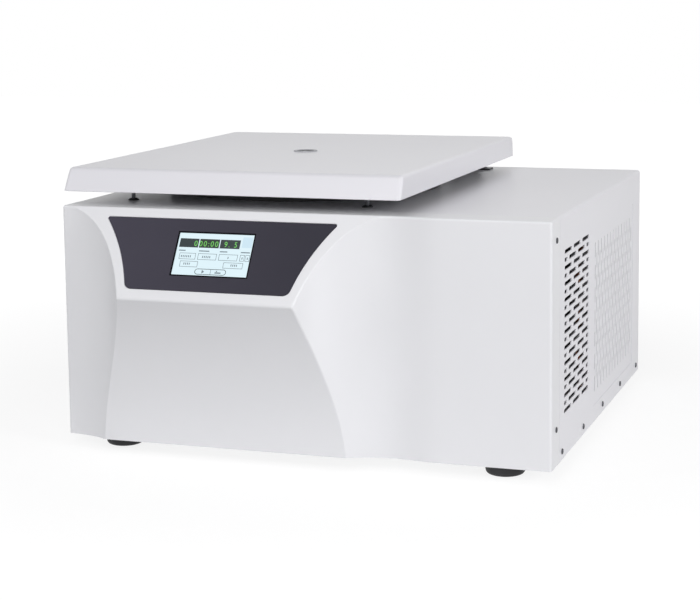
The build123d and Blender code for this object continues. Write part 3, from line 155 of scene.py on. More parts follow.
for name, place, aim, width, height, watts in (
    ("front lamp", (0.9, -3.2, 1.5), (0.0, 0.0, 0.16), 2.6, 1.8, 53.0),
    ("high lamp", (-0.2, -2.4, 2.7), (0.0, 0.0, 0.2), 2.0, 1.2, 18.0),
    ("right strip", (2.8, -1.2, 1.0), (0.0, 0.0, 0.16), 0.6, 1.8, 37.5),
    ("left strip", (-2.4, -1.8, 1.1), (0.0, 0.0, 0.16), 0.6, 1.8, 16.0),
    ("back lamp", (2.6, 1.6, 1.2), (0.0, 0.0, 0.2), 1.2, 1.2, 9.0),
    ("rear lamp", (-0.4, 3.0, 2.0), (0.0, 0.0, 0.2), 2.4, 1.4, 7.0),
):
    lamp = added(name, bpy.data.lights.new(name, "AREA"))
    lamp.data.shape = "RECTANGLE"
    lamp.data.size = width
    lamp.data.size_y = height
    lamp.data.energy = watts
    lamp.location = place
    lamp.rotation_euler = (Vector(aim) - Vector(place)).to_track_quat("-Z", "Y").to_euler()

# ------------------------------
# Front fascia: one thick-walled moulding in off-white plastic, with a leaning
# console, a hollow apron under it and a hollow wing each side. It screws to
# the case's front edge, and the panel and the screen drop into its console.
# ------------------------------
half_width = 310.0  # millimetres, as are all sizes here; each mesh is scaled to metres as it is made
case_z, deck_z = 15.0, 304.5
front_y, seam_y, ridge_y = -254.3, -213.6, -315.0
console_x, console_y, tilt, drop = -94.5, -249.3, math.radians(33), 101.2
wing_radius, wing_offset = 113.6, 215.5
wing_centre_y = console_y - wing_radius
apron_radius, apron_foot = 430.0, (-264.8, case_z)
flat_start_x = 175.0
top_round, edge_round, ridge_round, crest_round = 3.0, 3.4, 4.0, 4.5
fascia_wall, seam_ease = 3.0, 1.3
quarter = math.pi / 2


def spread(start, end, steps):
    """Evenly spaced values from start to end, both included."""
    return [start + (end - start) * k / steps for k in range(steps + 1)]


def arc(centre, radius, start, end, steps):
    """Points on a circle from one angle to another, in radians."""
    x, y = centre[:2]
    return [(x + radius * math.cos(a), y + radius * math.sin(a)) for a in spread(start, end, steps)]


def vert(bm, point):
    """A new vertex at a point in millimetres."""
    return bm.verts.new(Vector(point) / 1000)


def band(bm, low, high, closed=True):
    """A row of faces between two rings of vertices."""
    for k in range(len(low) if closed else len(low) - 1):
        n = (k + 1) % len(low)
        bm.faces.new((low[k], low[n], high[n], high[k]))


def faced(bm, way):
    """Turn a skin's faces over, if need be, so that on the whole they look the given way."""
    bm.normal_update()
    if sum(face.calc_area() * face.normal.dot(way) for face in bm.faces) < 0:
        bmesh.ops.reverse_faces(bm, faces=bm.faces[:])


def skinned(name, loops, closed=True, low_cap=True, high_cap=True, way=None):
    """A mesh object over a stack of loops of points, with a face over each end."""
    bm = bmesh.new()
    rings = [[vert(bm, p) for p in loop] for loop in loops]
    for low, high in zip(rings, rings[1:]):
        band(bm, low, high, closed)
    if low_cap:
        bm.faces.new(rings[0][::-1])
    if high_cap:
        bm.faces.new(rings[-1])
    if way:
        faced(bm, way)
    return placed(name, bm)


def placed(name, bm):
    """Turn a bmesh into a smooth object of the scene."""
    mesh = bpy.data.meshes.new(name)
    bm.to_mesh(mesh)
    bm.free()
    return smooth(added(name, mesh))


def smooth(piece):
    """Shade a piece smooth, except over edges sharper than 30 degrees."""
    piece.data.polygons.foreach_set("use_smooth", [True] * len(piece.data.polygons))
    piece.data.set_sharp_from_angle(angle=math.radians(30))
    return piece


def evaluated(piece):
    """A new mesh of a piece with its modifiers applied."""
    return bpy.data.meshes.new_from_object(piece.evaluated_get(bpy.context.evaluated_depsgraph_get()))


def baked(piece, *cutters):
    """Apply a piece's modifiers, and remove the shapes that only cut it."""
    mesh = evaluated(piece)
    piece.modifiers.clear()
    piece.data = mesh
    mesh.name = piece.name
    for cutter in cutters:
        bpy.data.objects.remove(cutter)
    smooth(piece)


def modify(piece, kind, **settings):
    """Put a modifier on a piece."""
    step = piece.modifiers.new(kind.lower(), kind)
    for name, value in settings.items():
        setattr(step, name, value)


def cut(piece, *cutters):
    """Take each cutter's shape out of a piece."""
    for cutter in cutters:
        modify(piece, "BOOLEAN", solver="EXACT", operation="DIFFERENCE", object=cutter)


def thicken(piece, wall):
    """Give an open skin its wall behind its outer faces."""
    modify(piece, "SOLIDIFY", thickness=wall / 1000, offset=-1, use_even_offset=True)


def ease_edges(piece, size, crease=60, steps=2):
    """Round every edge that is sharper than crease degrees."""
    angle = math.radians(crease)
    modify(piece, "BEVEL", width=size / 1000, segments=steps, limit_method="ANGLE", angle_limit=angle)


def finished(piece, material, body, slot, *replaced):
    """Give a piece its material, its body and the CAD nodes it stands for; the slot is not used."""
    piece.data.materials.clear()
    piece.data.materials.append(material)
    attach(piece, body)
    if replaced:
        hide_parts(*replaced)
    modify(piece, "WEIGHTED_NORMAL", keep_sharp=True)


def console_rows():
    """(height, y of the console or apron at that height), from the foot to the top edge."""
    lean_up = Vector((math.sin(tilt), math.cos(tilt)))
    inward = Vector((math.cos(tilt), -math.sin(tilt)))
    ridge = Vector((ridge_y, deck_z - drop))
    foot = Vector(apron_foot)
    chord = foot - ridge
    beside = Vector((chord.y, -chord.x)).normalized()
    centre = (ridge + foot) / 2 + beside * math.sqrt(apron_radius**2 - (chord.length / 2) ** 2)
    # the crest's rounding touches the console's plane and the apron's circle
    start = ridge + inward * crest_round - centre
    reach = apron_radius + crest_round
    along = -start.dot(lean_up) + math.sqrt(start.dot(lean_up) ** 2 - start.length_squared + reach**2)
    crest = centre + start + lean_up * along
    touch = crest - centre
    low = math.atan2(foot.y - centre.y, foot.x - centre.x)
    rows = arc(centre, apron_radius, low, math.atan2(touch.y, touch.x), 34)
    facing_apron = math.atan2(-touch.y, -touch.x) + 2 * math.pi
    rows += arc(crest, crest_round, facing_apron, math.pi - tilt, 8)[1:]
    rows = [(z, y) for y, z in rows]
    top_low = deck_z - top_round
    middle_y = console_y - top_round * math.tan(tilt) + top_round / math.cos(tilt)
    heights = spread((crest - inward * crest_round).y, top_low, 22)[1:]
    heights += [top_low + top_round * math.sin(a) for a in spread(0, quarter, 7)[1:]]
    for z in heights:
        if z < top_low + top_round * math.sin(tilt):
            rows.append((z, console_y - (deck_z - z) * math.tan(tilt)))
        else:
            rows.append((z, middle_y - math.sqrt(max(0, top_round**2 - (z - top_low) ** 2))))
    return rows


def fascia_outline(z, face_y):
    """The fascia's plan at one height, from its left rear edge round the front to its right rear edge."""
    rise = max(0, z - (deck_z - top_round))
    inset = top_round - math.sqrt(max(0, top_round**2 - rise**2))
    side, radius, round_edge = half_width - inset, wing_radius + inset, edge_round - inset
    left_wing, right_wing = ((console_x + side * wing_offset, wing_centre_y) for side in (-1, 1))
    edge_x = round_edge - side
    edge_y = wing_centre_y + math.sqrt((radius + round_edge) ** 2 - (edge_x - left_wing[0]) ** 2)
    fillet_y = face_y + ridge_round
    run = wing_offset - math.sqrt((radius + ridge_round) ** 2 - (fillet_y - wing_centre_y) ** 2)
    left, right = console_x - run, console_x + run
    to_wing = math.atan2(wing_centre_y - edge_y, left_wing[0] - edge_x) % (2 * math.pi)
    from_wing = math.atan2(wing_centre_y - fillet_y, left_wing[0] - left) + 2 * math.pi
    down = 3 * quarter
    points = [(-side, y) for y in spread(seam_y, edge_y, 4)]
    points += arc((edge_x, edge_y), round_edge, math.pi, to_wing, 6)[1:]
    points += arc(left_wing, radius, to_wing - math.pi, from_wing - math.pi, 40)[1:]
    points += arc((left, fillet_y), ridge_round, from_wing, down, 7)[1:]
    points += [(x, face_y) for x in spread(left, right, 30)[1:]]
    points += arc((right, fillet_y), ridge_round, down, 3 * math.pi - from_wing, 7)[1:]
    points += arc(right_wing, radius, 2 * math.pi - from_wing, quarter, 40)[1:]
    for t in spread(0, 1, 16)[1:]:
        x = right_wing[0] + (flat_start_x - right_wing[0]) * t
        points.append((x, console_y + inset + (front_y - console_y) * (3 * t**2 - 2 * t**3)))
    corner = (side - round_edge, front_y + inset + round_edge)
    points += [(x, front_y + inset) for x in spread(flat_start_x, corner[0], 8)[1:]]
    points += arc(corner, round_edge, down, 2 * math.pi, 6)[1:]
    points += [(side, y) for y in spread(corner[1], seam_y, 4)[1:]]
    return [(x, y, z) for x, y in points]


def on_console(u, v, w):
    """A point on the console's face: u to the right, v up the slope from its top edge, w out of it."""
    y = console_y + v * math.sin(tilt) - w * math.cos(tilt)
    return (console_x + u, y, deck_z + v * math.cos(tilt) + w * math.sin(tilt))


panel_recess = 1.6
panel_half = (151.3, 122.4, 104.7)  # half its width at the head, the waist and the foot
panel_v = (-12.4, -57.8, -107.1)
panel_corners = (2.5, 10.0)


def panel_loop(shrink):
    """The console panel's outline, smaller by shrink, with straight ends, bowed sides and round corners."""
    (a, p), (b, q), (c, r) = zip(panel_half, panel_v)
    # the circle through the side's three points
    d = 2 * (a * (q - r) + b * (r - p) + c * (p - q))
    i, j, k = (u * u + v * v for u, v in ((a, p), (b, q), (c, r)))
    bow = ((i * (q - r) + j * (r - p) + k * (p - q)) / d, (i * (c - b) + j * (a - c) + k * (b - a)) / d)
    radius = math.dist(bow, (a, p)) + shrink
    ends = []
    for level, size, way in ((p - shrink, panel_corners[0], -1), (r + shrink, panel_corners[1], 1)):
        size -= shrink
        v = level + way * size
        u = bow[0] - math.sqrt((radius + size) ** 2 - (v - bow[1]) ** 2)
        ends.append(((u, v), size, math.atan2(bow[1] - v, bow[0] - u)))
    (head, head_round, facing_head), (foot, foot_round, facing_foot) = ends
    side = arc(foot, foot_round, -quarter, facing_foot, 10)
    side += arc(bow, radius, facing_foot + math.pi, facing_head + math.pi, 24)[1:]
    side += arc(head, head_round, facing_head, quarter, 8)[1:]
    return side + [(-u, v) for u, v in side[::-1]]


screen_size, screen_centre, screen_border = (96.5, 55.0), (-0.4, -58.2), 3.0


def screen_loop(grow):
    """The rectangle of the screen's window, larger by grow on each side."""
    u, v = screen_centre
    across, up = screen_size[0] / 2 + grow, screen_size[1] / 2 + grow
    return [(u - across, v - up), (u + across, v - up), (u + across, v + up), (u - across, v + up)]


def console_stack(name, *levels):
    """A solid between outlines on the console, each given with its height out of it."""
    return skinned(name, [[on_console(u, v, w) for u, v in loop] for w, loop in levels])


fascia = skinned("fascia", [fascia_outline(z, y) for z, y in console_rows()], closed=False, low_cap=False)
thicken(fascia, fascia_wall)
ease_edges(fascia, seam_ease, steps=3)
rim = 0.7  # rounding of the recess's rim
past = 6  # how far the cutter stands out of the console
rounded = [(-rim * (1 - math.sin(a)), panel_loop(-rim * (1 - math.cos(a)))) for a in spread(0, quarter, 4)]
pocket = console_stack("pocket", (-panel_recess, panel_loop(0)), *rounded, (past, panel_loop(-rim)))
window = console_stack("window", *((w, screen_loop(screen_border)) for w in (-12, 2)))
cut(fascia, pocket, window)
baked(fascia, pocket, window)


def blank(name):
    """A new material, its tree, and the place on the piece that its patterns are laid out by."""
    made = bpy.data.materials.new(name)
    made.use_nodes = True
    return made, made.node_tree, node(made.node_tree, "TexCoord").outputs["Object"]


def surface(tree, **inputs):
    """Set or link inputs of a material's surface, each named with _ for a space."""
    for name, value in inputs.items():
        feed(tree, tree.nodes["Principled BSDF"], {name.replace("_", " "): value})


def noise(tree, place, scale, detail):
    return node(tree, "TexNoise", {"Vector": place, "Scale": scale, "Detail": detail}).outputs[0]


def bump(tree, height, strength, depth):
    """A relief on the surface, depth in millimetres."""
    return node(tree, "Bump", {"Height": height, "Strength": strength, "Distance": depth / 1000})


def mottled(name, low, high, patch, rough, metal=0, grain=0, depth=0, detail=2.0, relief=0.5, even=False):
    """A material of two tones in patches (so many a metre), with a relief of depth mm (grains a metre)."""
    made, tree, place = blank(name)
    share = noise(tree, place, patch, detail)
    if not even:
        share = ranged(tree, share, 0.35, 0.65, 0.0, 1.0)
    surface(tree, Base_Color=blend(tree, share, low, high), Roughness=rough, Metallic=metal)
    if depth:
        surface(tree, Normal=bump(tree, noise(tree, place, grain, 1.0), relief, depth))
    return made


# Moulded ABS, lightly textured and painted satin: an even off-white with a soft sheen, a faint cloudiness
# from the mould, and a fine grain that only breaks up the highlights.
moulded_white = mottled(
    "satin moulded ABS", "#E2E2E5", "#E6E6E9", 7.0, 0.36, grain=420.0, depth=0.03,
    detail=3.0, relief=0.25, even=True,
)
finished(fascia, moulded_white, "housing", "fascia_moulding", "front_fascia")

# ------------------------------
# Console panel: a printed overlay film on a thin plate, dark blue-grey and
# matt, laid in the console's recess with a window for the screen
# ------------------------------
panel_gap, panel_plate = 0.3, 1.2
bm = bmesh.new()
for loop in (panel_loop(panel_gap), screen_loop(0)):
    ring = [vert(bm, on_console(u, v, panel_plate - panel_recess)) for u, v in loop]
    for k, here in enumerate(ring):
        bm.edges.new((here, ring[k - 1]))
bmesh.ops.triangle_fill(bm, edges=bm.edges[:], use_beauty=True)
bmesh.ops.dissolve_limit(bm, angle_limit=0.01, verts=bm.verts[:], edges=bm.edges[:])
bmesh.ops.recalc_face_normals(bm, faces=bm.faces[:])
faced(bm, (0, -math.cos(tilt), math.sin(tilt)))
panel = placed("panel_overlay", bm)
thicken(panel, panel_plate)
ease_edges(panel, 0.25)
baked(panel)

# Screen-printed polycarbonate film: dark, even ink under a matt skin, with the velvety grain of the film.
overlay_film, tree, place = blank("printed overlay film")
# the film's colour is painted lighter towards the left and darker towards the right
towards_right = node(tree, "SeparateXYZ", {0: place}).outputs["X"]
lighter_leftwards = ranged(tree, towards_right, -0.25, 0.06, 0.75, -0.25)
share = worked(tree, "MULTIPLY_ADD", noise(tree, place, 16.0, 2.0), 0.3, lighter_leftwards)
ink = blend(tree, share, "#211F2B", "#3A3744")
# a black border is printed round the window: the distance from its edge, across and up the leaning console
border_edge = (0.0017, 0.0019)  # metres out from the window, faded over this much
window_middle = Vector(on_console(*screen_centre, 0)) / 1000
across = node(tree, "VectorMath", {0: place, 1: window_middle}, operation="SUBTRACT")
reach = []
for way, size in (((1, 0, 0), screen_size[0]), ((0, math.sin(tilt), math.cos(tilt)), screen_size[1])):
    along = node(tree, "VectorMath", {0: across, 1: way}, operation="DOT_PRODUCT").outputs["Value"]
    reach.append(worked(tree, "SUBTRACT", worked(tree, "ABSOLUTE", along), size / 2000))
border = ranged(tree, worked(tree, "MAXIMUM", *reach), *border_edge, 1.0, 0.0)
surface(
    tree,
    Base_Color=blend(tree, border, ink, "#0B0B0F"),
    Specular_IOR_Level=ranged(tree, border, 0.0, 1.0, 0.25, 0.02),
    Roughness=0.5,
    Normal=bump(tree, noise(tree, place, 900.0, 0.0), 0.3, 0.02),
)
finished(panel, overlay_film, "housing", "panel_film", "console_panel")

# ------------------------------
# Touch screen: a display module in a black moulded case behind the panel's
# window, its lit picture drawn as thin plates on its face; the clear touch glass is not drawn
# ------------------------------
glass_gap, module_back, card_back = 0.3, -8.0, -13.0
module_steps = ((-3, card_back), (-3, module_back), (2.7, module_back), (2.7, -glass_gap))
module = console_stack("screen_module", *((w - panel_recess, screen_loop(grow)) for grow, w in module_steps))
ease_edges(module, 0.4)
baked(module)

# Black moulded polycarbonate: deep and slightly glossy, with a fine spark-eroded texture.
black_case = mottled(
    "black moulded polycarbonate", "#17171A", "#232327", 700.0, 0.42, grain=700.0, depth=0.03,
    detail=1.0, relief=0.35, even=True,
)
finished(module, black_case, "housing", "screen_glass", "touch_screen")


def lit(name, code, faint, strength):
    """A lit part of the display, under gloss; the backlight falls off a little from place to place."""
    made, tree, place = blank(name)
    surface(
        tree,
        Emission_Color=blend(tree, noise(tree, place, 14.0, 1.0), code, faint),
        Emission_Strength=strength,
        Base_Color=colour("#0A0C0D"),
        Roughness=0.18,
    )
    return made


def on_picture(across, down, w):
    """A point of the picture, given as shares of its width and height, w above the module's face."""
    u, v = screen_centre
    across, up = (across - 0.5) * screen_size[0], (0.5 - down) * screen_size[1]
    return on_console(u + across, v + up, w - panel_recess - glass_gap)


def box_loop(left, top, right, bottom):
    return [(left, bottom), (right, bottom), (right, top), (left, top)]


def picture_part(name, loops, material, layer, holes=None):
    """Thin plates of the lit picture, in shares of its size; with holes, each is a frame round its hole."""
    bm = bmesh.new()
    low, high = 0.02 * layer, 0.02 * layer + 0.015
    for index, loop in enumerate(loops):
        rings = [(loop, low), (loop, high)]
        if holes:
            rings += [(holes[index], high), (holes[index], low)]
        rings = [[vert(bm, on_picture(a, b, w)) for a, b in ring] for ring, w in rings]
        for one, two in zip(rings, rings[1:] + (rings[:1] if holes else [])):
            band(bm, one, two)
        if not holes:
            bm.faces.new(rings[0][::-1])
            bm.faces.new(rings[-1])
    bmesh.ops.recalc_face_normals(bm, faces=bm.faces[:])
    finished(placed(name, bm), material, "housing", "screen_glass")


def framed(left, top, right, bottom, line=0.006):
    """An outlined box: its outer loop and its inner loop, with a line as thick across as down."""
    tall = line * screen_size[0] / screen_size[1]
    return box_loop(left, top, right, bottom), box_loop(left + line, top + tall, right - line, bottom - tall)


def pill_loop(grow):
    """The long rounded button at the foot of the picture."""
    tall = 0.07 + grow * screen_size[0] / screen_size[1]
    wide = tall * screen_size[1] / screen_size[0]
    turns = [(x, a) for x, t in ((0.68, -quarter), (0.34, quarter)) for a in spread(t, t + math.pi, 10)]
    return [(x + wide * math.cos(a), 0.9 - tall * math.sin(a)) for x, a in turns]


def strokes(places, top, bottom):
    """Rows of small upright strokes, for words too small to read: (start, how many)."""
    starts = [a + 0.024 * k for a, count in places for k in range(count)]
    return [box_loop(a, top, a + 0.012, bottom) for a in starts]


pale_light = lit("backlit pale cyan", "#E2F4FB", "#DAF0F8", 0.97)
slate_light = lit("lit dark slate", "#15282F", "#192D33", 0.75)
green_dark_light = lit("lit dark green", "#0A2614", "#0D2C19", 0.8)
green_light = lit("lit digit green", "#7ADB62", "#6ED057", 0.95)
blue_light = lit("lit light blue", "#D0E9F6", "#CBE5F3", 0.95)
line_light = lit("lit grey line", "#7D8E9A", "#75868F", 0.8)
button_light = lit("lit dark line", "#45545C", "#3F4E56", 0.8)
slate_boxes = [box_loop(a, 0.125, b, 0.335) for a, b in ((0.02, 0.275), (0.565, 0.83))]
picture_part("picture_ground", [box_loop(-0.012, -0.02, 1.012, 1.02)], pale_light, 1)
picture_part("picture_slate_boxes", slate_boxes, slate_light, 2)
picture_part("picture_green_box", [box_loop(0.287, 0.125, 0.553, 0.335)], green_dark_light, 2)
picture_part("picture_blue_box", [box_loop(0.855, 0.05, 0.985, 0.3)], blue_light, 2)
picture_part("picture_button", [pill_loop(0)], button_light, 3, [pill_loop(-0.008)])
fields = [(0.05, 0.27), (0.30, 0.55), (0.58, 0.83), (0.86, 0.92), (0.93, 0.99)]
fields = [framed(a, 0.47, b, 0.62) for a, b in fields]
fields += [framed(a, 0.66, b, 0.80) for a, b in ((0.08, 0.32), (0.66, 0.92))]
fields += [framed(0.51, 0.84, 0.516, 0.96, 0.0029)]
for index, (outer, inner) in enumerate(fields):
    picture_part(f"picture_frame_{index + 1}", [outer], line_light, 3, [inner])
marks = [(0.03, 0.09), (0.3, 0.14), (0.58, 0.1), (0.86, 0.12)]
marks = [box_loop(a, 0.40, a + size, 0.425) for a, size in marks]
marks += strokes([(0.075, 6), (0.36, 5), (0.70, 1), (0.885, 1), (0.955, 1)], 0.525, 0.575)
marks += strokes([(0.13, 4), (0.76, 4)], 0.7, 0.75)
marks += [[(0.395, 0.945), (0.43, 0.90), (0.43, 0.90), (0.395, 0.855)]]
marks += [box_loop(0.57, 0.90, 0.65, 0.93), box_loop(0.585, 0.865, 0.6, 0.89)]
picture_part("picture_marks", marks, line_light, 3)

digit_size, digit_narrow, digit_pitch, digit_depth, digit_line = 10.0, 0.88, 1.3, 0.006, 0.3
for name, digits, right in (("speed", "0", 0.262), ("time", "00:00", 0.54), ("cooling", "9. 5", 0.795)):
    text = bpy.data.curves.new("digits", "FONT")
    text.body = digits
    text.size = digit_size
    text.align_x = "RIGHT"
    text.space_character = digit_pitch
    text.extrude = digit_depth
    shape = added("digits", text)
    bm = bmesh.new()
    bm.from_mesh(evaluated(shape))
    bpy.data.objects.remove(shape)
    start = Vector(on_picture(right, digit_line, 0.09)) - Vector(on_console(0, 0, 0))
    for corner in bm.verts:
        x, y, z = corner.co
        corner.co = (start + Vector(on_console(digit_narrow * x, y, z))) / 1000
    finished(placed(f"picture_digits_{name}", bm), green_light, "housing", "screen_glass")

# ------------------------------
# Base pan: a folded tray of zinc-plated steel under everything, with welded
# motor posts and a patch of punched slots; the case and the fascia screw to it
# ------------------------------
members = {name: body for body, names in frame["record"]["behaviour"]["bodies"].items() for name in names}
slots = {part["node"]: part["material_slot"] for part in frame["record"]["subparts"]}


def dressed(material, *names):
    """Give CAD nodes that keep their own shape a material."""
    for name in names:
        for place in frame["nodes"][name].material_slots:
            place.material = material


def refined(material, ease, *names):
    """Smooth copies of CAD nodes that stand for them, with their sharp edges eased by so many millimetres."""
    for name in names:
        bm = bmesh.new()
        bm.from_mesh(frame["nodes"][name].data)
        bmesh.ops.remove_doubles(bm, verts=bm.verts[:], dist=0.000002)
        if ease:
            bmesh.ops.dissolve_limit(bm, angle_limit=math.radians(0.5), verts=bm.verts[:], edges=bm.edges[:])
        made = placed(name + "_shape", bm)
        if ease:
            ease_edges(made, ease, 40)
            baked(made)
        finished(made, material, members[name], slots[name], name)


# Zinc plate over rolled steel: a cool grey metal in soft crystalline patches, a little brighter and
# darker from one to the next, with the faint drag marks of the press.
zinc_plate, tree, place = blank("zinc-plated sheet steel")
spangle = node(tree, "TexVoronoi", {"Vector": place, "Scale": 90.0, "Randomness": 1.0}).outputs["Color"]
patch = node(tree, "SeparateColor", {"Color": spangle}).outputs
shine = ranged(tree, patch[1], 0.0, 1.0, 0.32, 0.46)
surface(tree, Base_Color=blend(tree, patch[0], "#A9ACB1", "#BCBFC3"), Roughness=shine, Metallic=0.9)
dressed(zinc_plate, "base_pan", "bulkhead")

# ------------------------------
# Feet: four turned black rubber feet, dished towards the bench, each held up
# to the pan by a screw sunk in its middle
# ------------------------------
upward = (0, 0, 1)
foot_x, foot_rows = 247, (35, 535)
foot_places = [((x, front_y + y, 0), upward) for x in (-foot_x, foot_x) for y in foot_rows]


def eased(profile, size, steps=3):
    """A closed profile with each corner rounded, by size or by what its sides leave room for."""
    rounded = []
    for index, point in enumerate(profile):
        before, here, after = (Vector(profile[(index + k) % len(profile)]) for k in (-1, 0, 1))
        if here.x < 1e-6 or (before - here).length < 1e-6:
            rounded.append(tuple(point))
            continue
        reach = min(size, (before - here).length * 0.45, (after - here).length * 0.45)
        start, end = (here + (other - here).normalized() * reach for other in (before, after))
        for t in spread(0, 1, steps):
            rounded.append(tuple(start * (1 - t) ** 2 + here * 2 * t * (1 - t) + end * t**2))
    return rounded


def turned(name, profile, centre=(0, 0), steps=64, ease=0.4):
    """A solid of revolution about an upright axis, from its closed (radius, height) profile."""
    bm = bmesh.new()
    profile = eased(profile, ease) if ease else profile
    rings = [[vert(bm, (*p, z)) for p in arc(centre, r, 0, 2 * math.pi, steps)[:-1]] for r, z in profile]
    for index, ring in enumerate(rings):
        band(bm, rings[index - 1], ring)
    bmesh.ops.remove_doubles(bm, verts=bm.verts[:], dist=1e-7)
    bmesh.ops.dissolve_degenerate(bm, edges=bm.edges[:], dist=1e-8)
    bmesh.ops.recalc_face_normals(bm, faces=bm.faces[:])
    return placed(name, bm)


def recipe(name, kinds):
    """An empty Geometry Nodes tree with a geometry going in and out and an input for each named size."""
    made = bpy.data.node_groups.new(name, "GeometryNodeTree")
    made.interface.new_socket("Geometry", in_out="INPUT", socket_type="NodeSocketGeometry")
    made.interface.new_socket("Geometry", in_out="OUTPUT", socket_type="NodeSocketGeometry")
    for title, kind in kinds.items():
        made.interface.new_socket(title, in_out="INPUT", socket_type="NodeSocket" + kind)
    return made, node(made, "NodeGroupInput").outputs


def follow(piece, tree, sizes):
    """Put a Geometry Nodes tree on a piece, with its named sizes."""
    step = piece.modifiers.new(tree.name, "NODES")
    step.node_group = tree
    for item in tree.interface.items_tree:
        if item.in_out == "INPUT" and item.name in sizes:
            step[item.identifier] = sizes[item.name]


def points(name, places):
    """A mesh of bare points in millimetres, each with the way that what stands on it faces."""
    mesh = bpy.data.meshes.new(name)
    mesh.from_pydata([Vector(p) / 1000 for p, facing in places], [], [])
    facing = mesh.attributes.new("facing", "FLOAT_VECTOR", "POINT")
    facing.data.foreach_set("vector", [c for p, way in places for c in way])
    return added(name, mesh)


def handed_back(tree, given, geometry):
    """End a recipe: make its copies real and give them their finish."""
    real = node(tree, "RealizeInstances", {"Geometry": geometry})
    coated = node(tree, "SetMaterial", {"Geometry": real, "Material": given["Finish"]})
    node(tree, "NodeGroupOutput", {"Geometry": coated})


# one copy of a fixing on each point, along its facing, each turned a different way as it was driven home
kinds = {"Fixing": "Object", "Turn": "Float", "Seed": "Int", "Finish": "Material"}
fixings, given = recipe("fixings", kinds)
shape = node(fixings, "ObjectInfo", {"Object": given["Fixing"]}).outputs["Geometry"]
facing = node(fixings, "InputNamedAttribute", {"Name": "facing"}, data_type="FLOAT_VECTOR")
upright = node(fixings, "FunctionNodeAlignRotationToVector", {"Vector": facing}, axis="Z")
# input 3 and output 1 of a random value are the ones for plain numbers
spin = {3: given["Turn"], "Seed": given["Seed"]}
spin = node(fixings, "FunctionNodeRandomValue", spin, data_type="FLOAT").outputs[1]
turn = node(fixings, "ShaderNodeCombineXYZ", {"Z": spin})
turn = node(fixings, "FunctionNodeEulerToRotation", {"Euler": turn})
driven = node(fixings, "FunctionNodeRotateRotation", {0: upright, "Rotate By": turn}, rotation_space="LOCAL")
stand = {"Points": given["Geometry"], "Instance": shape, "Rotation": driven}
handed_back(fixings, given, node(fixings, "InstanceOnPoints", stand))


def fixed(name, places, fixing, material, body, slot, *replaced, turn=0.0):
    """Copies of a fixing at places, as one piece; the pattern itself is then removed."""
    made = points(name, places)
    follow(made, fixings, {"Fixing": fixing, "Turn": turn, "Seed": 7, "Finish": material})
    baked(made, fixing)
    finished(made, material, body, slot, *replaced)


foot_profile = [(2.7, 6), (7, 6), (7, 0), (18.6, 0), (21.6, 1.2)]
foot_profile += [(23.2, 3.4), (23.8, 7), (23.8, 14.95), (2.7, 14.95)]
foot = turned("foot", foot_profile, steps=56, ease=0.9)

# Moulded nitrile rubber: near black and dull, with a soft bloom in patches and a fine sandy skin.
black_rubber = mottled("moulded black rubber", "#161618", "#29292C", 40.0, 0.6, grain=800.0, depth=0.05)
fixed("rubber_feet", foot_places, foot, black_rubber, "housing", "rubber_black", "feet")

# ------------------------------
# Cabinet cover: one sheet of steel folded over the deck and both sides, with
# the chamber's mouth, the latch holes and two arrays of punched air slots in
# its right side; it slides on behind the fascia and screws to the pan
# ------------------------------
sheet, fold = 1.5, 4.0
cover_front, cover_back = seam_y + 0.6, 315.0
spindle = (-90.5, 28.2)
mouth_r, latch_hole_r, latch_x, latch_y = 168, 5.5, 156, front_y + 76
grille_y, grille_z = (front_y + 237, front_y + 516), (case_z + 21, case_z + 248)
grille_corner, grille_recess = 3, 0.5


def round_box(a_span, b_span, corner, steps):
    """A rectangle with round corners, as a closed loop of pairs."""
    (a, b), (c, d) = ((low + corner, high - corner) for low, high in (a_span, b_span))
    loop = []
    for k, middle in enumerate(((b, c), (b, d), (a, d), (a, c))):
        loop += arc(middle, corner, (k - 1) * quarter, k * quarter, steps)
    return loop


def upright_box(name, loop, low, high):
    """A solid with upright sides over a loop, from low to high."""
    return skinned(name, [[(x, y, z) for x, y in loop] for z in (low, high)])


def drum(name, centre, radius, low, high, steps=96):
    """A plain round cutter, from low to high."""
    return upright_box(name, arc(centre, radius, 0, 2 * math.pi, steps)[:-1], low, high)


bend_x, bend_z = half_width - fold, deck_z - fold
plan = [(-half_width, z) for z in spread(case_z, bend_z, 3)]
plan += arc((-bend_x, bend_z), fold, math.pi, quarter, 6)[1:]
plan += [(x, deck_z) for x in spread(-bend_x, bend_x, 8)[1:]]
plan += arc((bend_x, bend_z), fold, quarter, 0, 6)[1:]
plan += [(half_width, z) for z in spread(bend_z, case_z, 3)[1:]]
loops = [[(x, y, z) for x, z in plan] for y in (cover_back, cover_front)]
cover = skinned("cover", loops, closed=False, low_cap=False, high_cap=False, way=upward)
thicken(cover, sheet)
ease_edges(cover, 0.2)
recess_loop = round_box(grille_y, grille_z, grille_corner, 5)
recess_depths = (half_width - grille_recess, half_width + 4)
recess = skinned("recess", [[(x, y, z) for y, z in recess_loop] for x in recess_depths])
through_deck = (deck_z - 8, deck_z + 8)
mouth = drum("mouth", spindle, mouth_r, *through_deck)
latch_places = [(spindle[0] + side * latch_x, latch_y) for side in (-1, 1)]
latch_holes = [drum("latch_hole", p, latch_hole_r, *through_deck, 32) for p in latch_places]
cut(cover, recess, mouth, *latch_holes)

# slots punched through a sheet in rows and columns, with a second set between them, each slot's mouth
# drawn in a little by the punch
counts = ("Columns", "Rows", "Columns between", "Rows between")
sizes = ("Column pitch", "Row pitch", "Slot length", "Slot width", "Slot depth", "Drawn edge")
kinds = {**dict.fromkeys(counts, "Int"), **dict.fromkeys((*sizes, "Slot turn", "Side shift"), "Float")}
kinds.update({"Facing": "Vector", "Centre": "Vector", "Finish": "Material"})
punching, given = recipe("punched slots", kinds)


def times(one, two):
    return worked(punching, "MULTIPLY", one, two)


